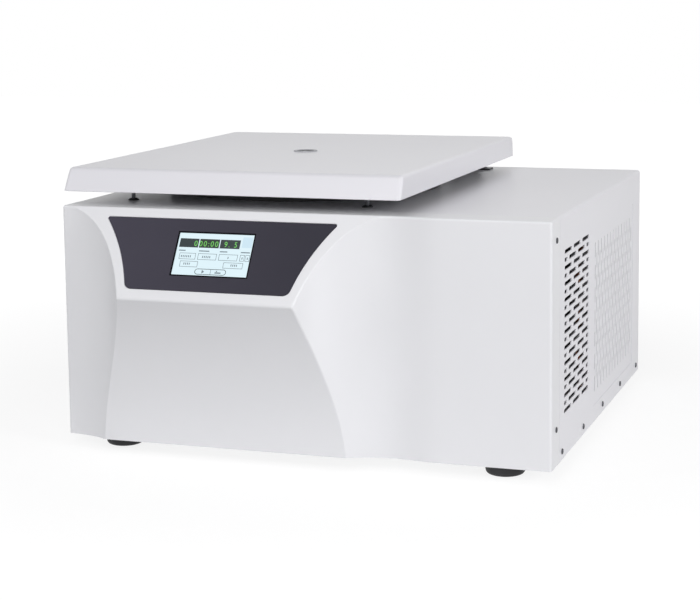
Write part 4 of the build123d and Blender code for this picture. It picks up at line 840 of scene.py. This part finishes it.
def moved(geometry, x, z=0.0):
    """A geometry of the punching tree, moved along X and Z."""
    shift = node(punching, "ShaderNodeCombineXYZ", {"X": x, "Z": z})
    return node(punching, "Transform", {"Geometry": geometry, "Translation": shift})


def joined(parts):
    gathered = node(punching, "JoinGeometry")
    for part in parts:
        punching.links.new(part.outputs[0], gathered.inputs[0])
    return gathered


grids = []
for between, way in (("", -1.0), (" between", 1.0)):
    grid = {"Vertices X": given["Columns" + between], "Vertices Y": given["Rows" + between]}
    for side, along in (("X", "Column"), ("Y", "Row")):
        gaps = worked(punching, "SUBTRACT", grid["Vertices " + side], 1)
        grid["Size " + side] = times(gaps, given[along + " pitch"])
    grids.append(moved(node(punching, "MeshGrid", grid), times(given["Side shift"], way)))
half_slot = times(given["Slot width"], 0.5)
end_shift = worked(punching, "SUBTRACT", times(given["Slot length"], 0.5), half_slot)
wide = worked(punching, "ADD", half_slot, times(given["Drawn edge"], 2.0))
hulls = []
for mouth_size, level in ((half_slot, given["Slot depth"]), (wide, given["Drawn edge"])):
    ends = []
    for radius, height in ((half_slot, times(level, -1.0)), (mouth_size, level)):
        circle = node(punching, "MeshCircle", {"Vertices": 12, "Radius": radius})
        ends += [moved(circle, times(end_shift, way), height) for way in (1.0, -1.0)]
    hulls.append(node(punching, "ConvexHull", {"Geometry": joined(ends)}))
slot_turn = node(punching, "ShaderNodeCombineXYZ", {"Z": given["Slot turn"]})
rows = {"Points": joined(grids), "Instance": joined(hulls), "Rotation": slot_turn}
array = {"Geometry": node(punching, "InstanceOnPoints", rows)}
array.update({"Translation": given["Centre"], "Rotation": given["Facing"]})
tools = node(punching, "RealizeInstances", {"Geometry": node(punching, "Transform", array)})
cuts = {"Mesh 1": given["Geometry"], "Mesh 2": tools, "Self Intersection": True}
punched = node(punching, "MeshBoolean", cuts, operation="DIFFERENCE", solver="EXACT")
handed_back(punching, given, punched)


def punched_rows(piece, grid, between, pitches, length, centre, facing, turn=0.0, shift=0.0, width=3.6):
    """Punch an array of slots in a piece, in millimetres."""
    slot_depth, drawn_edge = 6.0, 0.3
    lengths = (*pitches, length, width, slot_depth, drawn_edge)
    values = dict(zip(sizes, [size / 1000 for size in lengths]))
    values.update(zip(counts, (*grid, *between)))
    values.update({"Slot turn": turn, "Side shift": shift / 1000, "Facing": facing, "Finish": paint})
    follow(piece, punching, {**values, "Centre": [c / 1000 for c in centre]})


# Powder coat on folded steel: off-white and satin, levelled to a very faint orange peel; it mirrors
# softly at a low angle, and its tone drifts a little over the broad panels.
paint = mottled(
    "powder-coated steel", "#DFDEE3", "#E3E2E7", 4.0, 0.3, grain=260.0, depth=0.04, relief=0.2, even=True
)

right_side = (quarter, 0, quarter)
intake_middle, intake_rise, intake_wide = (half_width, front_y + 137.4, case_z + 150.0), 9.5, 4.6
slot_long, slot_step, intake_step, intake_half = 40.0, 48.5, 50.4, 70.4
short = intake_half - intake_step - 5.2  # the slots cut short at each end of every other row
grille_pitch, grille_slot, outlet_rise = (20.0, 28.7), 20.2, 11.0
for grid, between, pitch, length in (
    ((3, 11), (2, 10), intake_step, slot_long),
    ((2, 10), (0, 0), 2 * intake_half - short, short),
):
    pitches = (pitch, 2 * intake_rise)
    punched_rows(cover, grid, between, pitches, length, intake_middle, right_side, width=intake_wide)
grille_middle = (half_width - grille_recess, sum(grille_y) / 2, sum(grille_z) / 2)
punched_rows(cover, (13, 7), (13, 6), grille_pitch, grille_slot, grille_middle, right_side, quarter, 5.0)
baked(cover, recess, mouth, *latch_holes)
finished(cover, paint, "housing", "cover_paint", "cabinet_cover")

# ------------------------------
# Rear panel: a shallow folded tray inside the cover's rear edge, painted to
# match, with warm-air slots and the cut-out for the mains inlet and switch
# ------------------------------
rear_half, rear_face, rear_flange = half_width - 1.8, cover_back - 2.2, 12.0
rear_low, rear_high, flange_low = case_z + 1, deck_z - 1.8, case_z + 25
tray_plan = [(-rear_half, flange_low)]
tray_plan += arc((fold - rear_half, rear_high - fold), fold, math.pi, quarter, 6)
tray_plan += arc((rear_half - fold, rear_high - fold), fold, quarter, 0, 6)
tray_plan += [(rear_half, flange_low)]
bm = bmesh.new()
flange, bend = ([vert(bm, (x, y, z)) for x, z in tray_plan] for y in (rear_face - rear_flange, rear_face))
band(bm, flange, bend, closed=False)
bm.faces.new([*bend, *(vert(bm, (side * rear_half, rear_face, rear_low)) for side in (1, -1))])
bmesh.ops.recalc_face_normals(bm, faces=bm.faces[:])
faced(bm, (0, 1, 0))
rear_tray = placed("rear_tray", bm)
thicken(rear_tray, sheet)
ease_edges(rear_tray, 0.4)


def slab(name, x_span, y_span, z_span):
    """A plain block between two limits along each axis."""
    (a, b), (c, d) = x_span, y_span
    return upright_box(name, [(a, c), (b, c), (b, d), (a, d)], *z_span)


entry_x, entry_z = (237.7, 286.3), (case_z + 48.7, case_z + 121.3)
entry_hole = slab("entry_hole", entry_x, (300, 318), entry_z)
cut(rear_tray, entry_hole)
outlet_middle = (spindle[0], rear_face, case_z + 205)
punched_rows(rear_tray, (6, 8), (0, 0), (slot_step, outlet_rise), slot_long, outlet_middle, (-quarter, 0, 0))
baked(rear_tray, entry_hole)
finished(rear_tray, paint, "housing", "cover_paint", "rear_panel")

# ------------------------------
# Case and foot screws: black pan heads with a cross recess, along both sides,
# on the fascia's returns and at the back; flat ones sunk in the feet
# ------------------------------
head_profile = [(0, -7), (2, -7), (2, 0), (3.6, 0), (3.6, 0.5), (3.1, 1.25), (1.8, 1.58), (0, 1.6)]
head = turned("pan_head", head_profile, steps=24, ease=0.12)
blade = [Vector(p) for p in ((-1.75, -0.38), (1.75, -0.38), (1.75, 0.38), (-1.75, 0.38))]
for angle in (0, quarter):
    way = Matrix.Rotation(angle, 2)
    blade_levels = [([way @ (p * size) for p in blade], z) for size, z in ((0.7, 0.5), (1.0, 2.0))]
    blade_cut = skinned("blade", [[(*p, z) for p in loop] for loop, z in blade_levels])
    cut(head, blade_cut)
    baked(head, blade_cut)

# Black-oxide steel: a dark blue-grey metal with an oily half gloss, worn a shade lighter in patches.
black_oxide = mottled("black-oxide steel", "#37383C", "#5A5B60", 300.0, 0.36, 0.85)

head_rise, first_head, head_pitch = case_z + 10.4, front_y + 55.7, 123.2
side_heads = [(first_head + head_pitch * k, head_rise) for k in range(5)]
side_heads += [(front_y + 23.5, case_z + z) for z in (44, 265)]
screw_places = [((side * half_width, y, z), (side, 0, 0)) for side in (-1, 1) for y, z in side_heads]
back_heads = [(x, z) for x in (-290, -97, 97, 290) for z in (case_z + 13, deck_z - 14)]
screw_places += [((x, rear_face, z), (0, 1, 0)) for x, z in back_heads]
fixed("screws", screw_places, head, black_oxide, "housing", "screw_steel", "case_screws", turn=6.28)
refined(black_oxide, 0, "foot_screws")

# ------------------------------
# Chamber: a bowl pressed from stainless sheet, hung by its lip under the deck,
# in a foam jacket inside a rolled steel guard ring; the seal stands on the deck
# ------------------------------
lid_z = deck_z + 18
bowl_floor, bowl_r, bowl_sheet, lip_top = deck_z - 160, 166.0, 1.2, deck_z - sheet - 0.1
drain_r, floor_round, lip_round, lip_r = 44, 20, 3, 182
floor_bend = (bowl_r - floor_round, bowl_floor + floor_round)
lip_bend = (bowl_r + lip_round, lip_top - lip_round)
bowl_profile = [(drain_r, bowl_floor), *arc(floor_bend, floor_round, -quarter, 0, 9)]
bowl_profile += arc(lip_bend, lip_round, math.pi, quarter, 5)
bowl_profile += [(lip_r, lip_top), (lip_r, lip_top - bowl_sheet)]
bowl_profile += arc(lip_bend, lip_round - bowl_sheet, quarter, math.pi, 4)
bowl_profile += arc(floor_bend, floor_round + bowl_sheet, 0, -quarter, 9)
bowl_profile += [(drain_r, bowl_floor - bowl_sheet)]
bowl = turned("bowl", bowl_profile, spindle, 128, ease=0)


def lathed(name, low, high, rough, lines):
    """A turned or spun metal: hair-fine rings about the spindle, so many to a metre, over two close tones."""
    made, tree, place = blank(name)
    to_axis = [-c / 1000 for c in spindle] + [0]
    part = node(tree, "VectorMath", {0: place, 1: to_axis}, operation="ADD")
    part = node(tree, "SeparateXYZ", {0: part}).outputs
    flat = node(tree, "CombineXYZ", {0: part[0], 1: part[1]})
    out = node(tree, "VectorMath", {0: flat}, operation="LENGTH").outputs["Value"]
    marks = noise(tree, node(tree, "CombineXYZ", {0: out, 1: part[2]}), lines, 2.0)
    shine = ranged(tree, marks, 0.0, 1.0, rough - 0.06, rough + 0.06)
    relief = bump(tree, marks, 0.6, 0.01)
    surface(tree, Base_Color=blend(tree, marks, low, high), Roughness=shine, Normal=relief, Metallic=1.0)
    return made


# Stainless sheet spun to a satin finish: bright, with rings of fine scratches that stretch highlights.
spun_stainless = lathed("spun stainless steel", "#B4B6B9", "#D2D4D6", 0.28, 900.0)
finished(bowl, spun_stainless, "housing", "stainless", "chamber_bowl")

# Poured polyurethane: matt cream foam with open cells of about a millimetre and darker skinned patches.
foam = mottled("poured polyurethane foam", "#D9CFA8", "#E9E1C2", 60.0, 0.92, grain=700.0, depth=0.5)
dressed(foam, "foam_jacket", "lid_foam")

# Phosphated guard steel: a dark grey rolled ring, dull, in cloudy patches from the bath.
phosphate = mottled("phosphated guard steel", "#4A4C50", "#66686C", 25.0, 0.5, 0.7, 400.0, 0.03)
refined(phosphate, 0.4, "guard_ring")


def raised(base, profile):
    """A (radius, height) profile lifted by base."""
    return [(r, base + h) for r, h in profile]


seal_profile = [(169.5, 0), (181.5, 0), (181.5, 5), (179.5, 6.5), (181.5, 8), (181.5, 14.7)]
seal_profile += [(178.5, 17.7), (172.5, 17.7), (169.5, 14.7)]
seal = turned("seal", raised(deck_z, seal_profile), spindle, 96, 0.9)
finished(seal, black_rubber, "housing", "rubber_black", "chamber_gasket")

# ------------------------------
# Drive: a ribbed induction motor bolted to a plate on three rubber mounts; its
# spindle comes up through a rubber boot in the bowl's floor
# ------------------------------
# Baked motor enamel: a deep blue-grey gloss that lies thick in the corners of the casting.
motor_enamel = mottled("baked motor enamel", "#3C444F", "#4B5460", 30.0, 0.33, grain=300.0, depth=0.08)
refined(motor_enamel, 0.5, "motor_housing")
refined(black_rubber, 0.6, "motor_mounts")
dressed(zinc_plate, "motor_plate")
refined(black_rubber, 0.3, "shaft_boot")

# Stacked electrical steel: thin grey-brown sheets, one varnished edge above another.
laminated = mottled("varnished laminations", "#6C6762", "#86807A", 200.0, 0.45, 0.8, 900.0, 0.08)
dressed(laminated, "motor_stator")

# Ground bearing steel: bright and close to a mirror, with the grinder's rings round the spindle.
ground_steel = lathed("ground bearing steel", "#A9ABAE", "#C4C6C8", 0.18, 1500.0)
refined(ground_steel, 0.3, "motor_bearings", "motor_armature")

# ------------------------------
# Swing rotor: an aluminium cross milled from plate and anodised, with trunnion
# pins in its bays, held on the spindle's cone by a fluted knob
# ------------------------------
# Clear-anodised aluminium: soft silver with the facing cutter's rings showing through.
anodised = lathed("clear-anodised aluminium", "#B9BBBF", "#CDCFD2", 0.36, 500.0)
refined(anodised, 0.6, "rotor_head")

# Moulded black nylon: a dense black with a fine even spark texture and a low sheen.
black_nylon = mottled("moulded black nylon", "#17181A", "#232427", 90.0, 0.42, grain=900.0, depth=0.06)
refined(black_nylon, 0.3, "rotor_knob")

# Carriers: stainless cradles, each with two slides and two single-use chambers.
# Stainless sheet, linished before bending: straight hairlines over a bright grey.
linished = mottled("linished stainless sheet", "#94969A", "#B2B4B7", 500.0, 0.3, 1.0, 1800.0, 0.02)

# Slide glass: clear and faintly green, seen mostly by its bright edges.
slide_glass = mottled("soda-lime slide glass", "#E4F0EA", "#EDF5F1", 20.0, 0.03)
surface(slide_glass.node_tree, Transmission_Weight=0.94, IOR=1.52)

# Injected polystyrene: milky white, letting a little light through its funnels.
polystyrene = mottled("milky polystyrene", "#E6E7E4", "#F0F0EE", 50.0, 0.28)
surface(polystyrene.node_tree, Subsurface_Weight=0.3, Subsurface_Scale=0.004)
for number in range(1, 5):
    refined(linished, 0.35, f"carrier_{number}")
    refined(slide_glass, 0.12, f"slides_{number}")
    refined(polystyrene, 0.3, f"sample_chambers_{number}")

# ------------------------------
# Lid: a pan folded from the same sheet as the cover, its front skirt leaning far
# back, filled with foam behind a flat stainless liner
# ------------------------------
lid_x, lid_y = ((middle - half, middle + half) for middle, half in zip(spindle, (219.0, 275.5)))
lid_top, side_lean, front_lean, lid_corner, lid_edge = lid_z + 27.8, 1, 16, 5, 4.5
port_r = 14
crown_x = (lid_x[0] + side_lean, lid_x[1] - side_lean)
crown_y = (lid_y[0] + front_lean, lid_y[1] - side_lean)
levels = ((lid_x, lid_y, lid_z), (crown_x, crown_y, lid_top))
loops = [[(*p, z) for p in round_box(x_span, y_span, lid_corner, 6)] for x_span, y_span, z in levels]
lid = skinned("lid", loops, low_cap=False, way=upward)
ease_edges(lid, lid_edge, 40, 5)
thicken(lid, sheet)
ease_edges(lid, 0.4)
port_hole = drum("port_hole", spindle, port_r, lid_top - 6, lid_top + 6, 64)
cut(lid, port_hole)
baked(lid, port_hole)
finished(lid, paint, "lid", "cover_paint", "lid_shell")
refined(linished, 0.3, "lid_liner")

# Sight port: a grey moulded ring round a smoked window, for a stroboscope
port_foot = lid_z + 1.6 - lid_top
port_profile = [(11, port_foot), (13.7, port_foot), (13.7, 0), (16, 0), (16, 1.2), (12.2, 1.2), (12.2, -1.4)]
port_profile = raised(lid_top, port_profile + [(11, -1.4)])

# Moulded grey ABS: an even mid grey with a fine matt grain.
grey_plastic = mottled("moulded grey ABS", "#A2A3A7", "#AEAFB3", 60.0, 0.42, grain=700.0, depth=0.05)
finished(turned("port_ring", port_profile, spindle, 72, 0.5), grey_plastic, "lid", "port_grey", "sight_port")

# Smoked acrylic: a clear dark grey sheet with a polished face.
smoked = mottled("smoked acrylic", "#17181A", "#1F2022", 30.0, 0.06)
surface(smoked.node_tree, Transmission_Weight=0.1, Specular_IOR_Level=0.004, IOR=1.49)
pane_profile = raised(lid_top, [(0, -1.4), (12.1, -1.4), (12.1, 0.2), (0, 0.2)])
port_glass = turned("port_glass", pane_profile, spindle, 64, 0.3)
finished(port_glass, smoked, "lid", "port_glass", "sight_glass")

# ------------------------------
# Hinges: two pressed bases riveted to the deck, leaves under the lid's rear
# edge, a headed pin in each, and a torsion spring wound round each pin
# ------------------------------
# Blackened hinge steel: dark, with a worn satin edge to its patches.
hinge_steel = mottled("blackened hinge steel", "#3A3B3F", "#55565B", 180.0, 0.38, 0.85, 500.0, 0.03)
refined(hinge_steel, 0.35, "hinge_bases", "hinge_leaves")
refined(mottled("turned pin steel", "#A4A6AA", "#BCBEC1", 400.0, 0.25, 1.0), 0.3, "hinge_pins")

# a round pipe, wire or cable laid along each path: the bends are filleted, then a circle is swept along
kinds = {"Radius": "Float", "Bend": "Float", "Sides": "Int", "Finish": "Material"}
tube, given = recipe("tube", kinds)
bent = node(tube, "FilletCurve", {"Curve": node(tube, "MeshToCurve", {"Mesh": given["Geometry"]})})
if hasattr(bent, "mode"):
    bent.mode = "POLY"
settings = {"Radius": given["Bend"], "Count": 7, "Limit Radius": True, "Mode": "Poly"}
feed(tube, bent, {socket.name: settings[socket.name] for socket in bent.inputs if socket.name in settings})
section = node(tube, "CurvePrimitiveCircle", {"Resolution": given["Sides"], "Radius": given["Radius"]})
swept = node(tube, "CurveToMesh", {"Curve": bent, "Profile Curve": section, "Fill Caps": True})
handed_back(tube, given, swept)


def piped(name, paths, radius, bend, material, body, slot, *replaced, sides=12):
    """Tubes of one radius along paths of points, in millimetres, as one piece."""
    places, edges = [], []
    for path in paths:
        first = len(places)
        places += [Vector(p) / 1000 for p in path]
        edges += [(k, k + 1) for k in range(first, len(places) - 1)]
    mesh = bpy.data.meshes.new(name)
    mesh.from_pydata(places, edges, [])
    made = added(name, mesh)
    follow(made, tube, {"Radius": radius / 1000, "Bend": bend / 1000, "Sides": sides, "Finish": material})
    baked(made)
    finished(made, material, body, slot, *replaced)


def helix(centre, radius, turns, rise, steps):
    """Points of a helix about an upright axis, from centre up, with so many steps to each turn."""
    ring = arc(centre, radius, 0, 2 * math.pi * turns, turns * steps)
    return [(*p, centre[2] + rise * k / steps) for k, p in enumerate(ring)]


# Oil-tempered spring wire: blue-grey, smooth and half bright.
spring_wire = mottled("oil-tempered spring wire", "#5C6067", "#787C83", 300.0, 0.3, 1.0)
hinge_x, hinge_y, hinge_z = 150, front_y + 553.3, deck_z + 8
spring_r, spring_turns, spring_pitch, spring_leg, wire_r = 4.0, 7, 2.4, 14, 1.1
springs = []
for x in (spindle[0] - hinge_x, spindle[0] + hinge_x):
    turns = helix((0, 0, -spring_turns * spring_pitch / 2), spring_r, spring_turns, spring_pitch, 16)
    wound = [(x + z, hinge_y + py, hinge_z + px) for px, py, z in turns]
    legs = [(end[0], hinge_y - spring_leg, hinge_z + spring_r) for end in (wound[0], wound[-1])]
    springs.append([legs[0], *wound, legs[1]])
piped(
    "torsion_springs", springs, wire_r, 0.0, spring_wire, "housing", "spring_steel", "hinge_springs", sides=8
)

# ------------------------------
# Latches: turned striker pins under the lid drop through black collars in the
# deck, where geared motors turn slotted hooks round their necks
# ------------------------------
latch_stands = [((*p, 0), upward) for p in latch_places]
pin_profile = [(0, -22.5), (1.25, -22.5), (2.5, -19.5), (2.5, -17.5), (1.5, -17.5), (1.5, -12.5)]
pin_profile += [(2.5, -12.5), (2.5, 15.5), (9, 15.5), (9, 17.98), (0, 17.98)]
striker = turned("striker", raised(deck_z, pin_profile), steps=32, ease=0.3)
fixed("strikers", latch_stands, striker, hinge_steel, "lid", "hinge_steel", "lid_strikers")
collar_profile = [(4.2, -2.5), (5.3, -2.5), (5.3, 0), (7, 0), (7, 0.8), (5, 2.2), (4.6, 2.4), (4.2, 2.4)]
collar = turned("collar", raised(deck_z, collar_profile), steps=40, ease=0.3)
fixed("collars", latch_stands, collar, black_nylon, "housing", "knob_black", "latch_collars")
refined(hinge_steel, 0.25, "latch_hook_left", "latch_hook_right")
dressed(zinc_plate, "latch_brackets")
refined(motor_enamel, 0.4, "latch_motors")

# ------------------------------
# Refrigeration: a welded compressor, copper tube to the coil round the bowl and
# to a finned condenser, and a fan that draws air in through the side slots
# ------------------------------
# Dipped black enamel: thick and glossy, with soft sags.
black_enamel = mottled("dipped black enamel", "#111213", "#1C1D1F", 15.0, 0.24, grain=120.0, depth=0.15)
refined(black_enamel, 0.8, "compressor")

# Drawn copper tube: warm and satin, browned unevenly by brazing and handling.
copper = mottled("drawn copper tube", "#A8613F", "#C98463", 35.0, 0.3, 1.0, 300.0, 0.03, 4.0)
coil_low, coil_rise, coil_turns, coil_r = bowl_floor + 18.5, 12.0, 10, bowl_r + bowl_sheet + 4.3
coil_high = coil_low + coil_rise * coil_turns
compressor_x, compressor_y, compressor_top = 180.0, 245.0, case_z + 185
condenser_y, condenser_z, tube_x = (-12.0, 257.0), (case_z + 25, case_z + 245), 292.0
line_top, drier_x, pipe_r, thin_pipe_r, stub = condenser_z[1] + 17, 215, 4.0, 3.0, 10
stub_top = compressor_top - 6
wound = helix((*spindle, coil_low), coil_r, coil_turns, coil_rise, 48)
suction = [wound[-1], (150, spindle[1], coil_high)]
suction += [(compressor_x - stub, compressor_y, z) for z in (coil_high, stub_top)]
piped("coil", [wound], pipe_r, 0.0, copper, "housing", "copper", "refrigerant_tubing")
piped("suction_line", [suction], pipe_r, 16, copper, "housing", "copper")
discharge = [(compressor_x + stub, compressor_y, z) for z in (stub_top, line_top)]
discharge += [(tube_x, compressor_y, z) for z in (line_top, condenser_z[1] - 2)]
liquid = [(tube_x, 4, condenser_z[1] - 2), (tube_x, 4, line_top)]
liquid += [(drier_x, 0, line_top), (drier_x, 0, coil_low), (150, spindle[1], coil_low), wound[0]]
piped("thin_lines", [discharge, liquid], thin_pipe_r, 12, copper, "housing", "copper")
drier_profile = [(0, 192), (6, 192), (10, 198), (10, 246), (6, 252), (0, 252)]
drier = turned("drier", drier_profile, (drier_x, 0), 32, 1.0)
finished(drier, copper, "housing", "copper")

# Mill-finish fin stock: pale thin aluminium, dulled by its lanolin film.
fin_alloy = mottled("mill-finish fin stock", "#9EA1A4", "#B6B8BB", 80.0, 0.42, 0.95, 600.0, 0.02)

# thin plates stood side by side along one line
kinds = {"Fin": "Object", "Count": "Int", "Pitch": "Float", "Finish": "Material"}
finning, given = recipe("fins", kinds)
plate = node(finning, "ObjectInfo", {"Object": given["Fin"]}).outputs["Geometry"]
step = node(finning, "ShaderNodeCombineXYZ", {"Y": given["Pitch"]})
row = node(finning, "MeshLine", {"Count": given["Count"], "Offset": step}, mode="OFFSET")
handed_back(finning, given, node(finning, "InstanceOnPoints", {"Points": row, "Instance": plate}))
fin_x, fin_sheet, fin_count, fin_pitch, rows, row_rise = (280, 304), 0.3, 109, 2.48, 8, 25.7
fin = slab("fin", fin_x, (condenser_y[0], condenser_y[0] + fin_sheet), condenser_z)
block = slab("fin_block", (280, 281), (0, 1), (100, 101))
follow(block, finning, {"Fin": fin, "Count": fin_count, "Pitch": fin_pitch / 1000, "Finish": fin_alloy})
baked(block, fin)
finished(block, fin_alloy, "housing", "fin_alloy", "condenser")
ends = (condenser_y[0] - 7, condenser_y[1] + 7)
row_heights = [condenser_z[0] + 20 + row_rise * k for k in range(rows)]
serpentine = [(tube_x, y, z) for k, z in enumerate(row_heights) for y in ends[:: (-1) ** k]]
piped("condenser_tube", [serpentine], 4.7, 11, copper, "housing", "copper")

# Glass-filled nylon: dull black with a dry, faintly streaked skin.
filled_nylon = mottled("glass-filled black nylon", "#1A1B1D", "#2A2B2E", 60.0, 0.5, grain=500.0, depth=0.08)
refined(filled_nylon, 0.4, "fan_shroud")
refined(filled_nylon, 0.3, "fan_blades")
refined(motor_enamel, 0.4, "fan_motor")

# ------------------------------
# Electrics: the motor drive with its finned heat sink, red supply wires to the
# console, and the mains inlet with its rocker switch in the rear panel
# ------------------------------
# Extruded heat-sink alloy, bead-blasted and black-anodised on the drive's box.
sink_alloy = mottled("blasted heat-sink alloy", "#7D8084", "#94979B", 120.0, 0.5, 0.9, 900.0, 0.05)
refined(sink_alloy, 0.3, "drive_unit")

# PVC insulation: a clear signal red with a waxy shine.
red_pvc = mottled("red PVC insulation", "#94241D", "#A83028", 60.0, 0.35)
wire_gap = 5
wires = [
    [
        (280 - step, -74, case_z + 2),
        (280 - step, -74, 150 + step),
        (292 - step, -112, 224 - step),
        (280 - step, -196, 262 - step),
        (180, -226, 258 - step),
        (-10, -228, 250 - step),
        (-60, -232, 246 - step),
        (-84 + step, -258, 242 - step),
    ]
    for step in (0, wire_gap, 2 * wire_gap)
]
piped("supply_wires", wires, 1.8, 14, red_pvc, "housing", "wire_red", "wiring_harness", sides=10)

# Moulded thermoset: black with a faint gloss, for the inlet and the switch's rocker.
thermoset = mottled("moulded black thermoset", "#141516", "#1E1F21", 70.0, 0.3, grain=600.0, depth=0.03)
refined(thermoset, 0.4, "power_entry")
refined(thermoset, 0.3, "power_rocker")
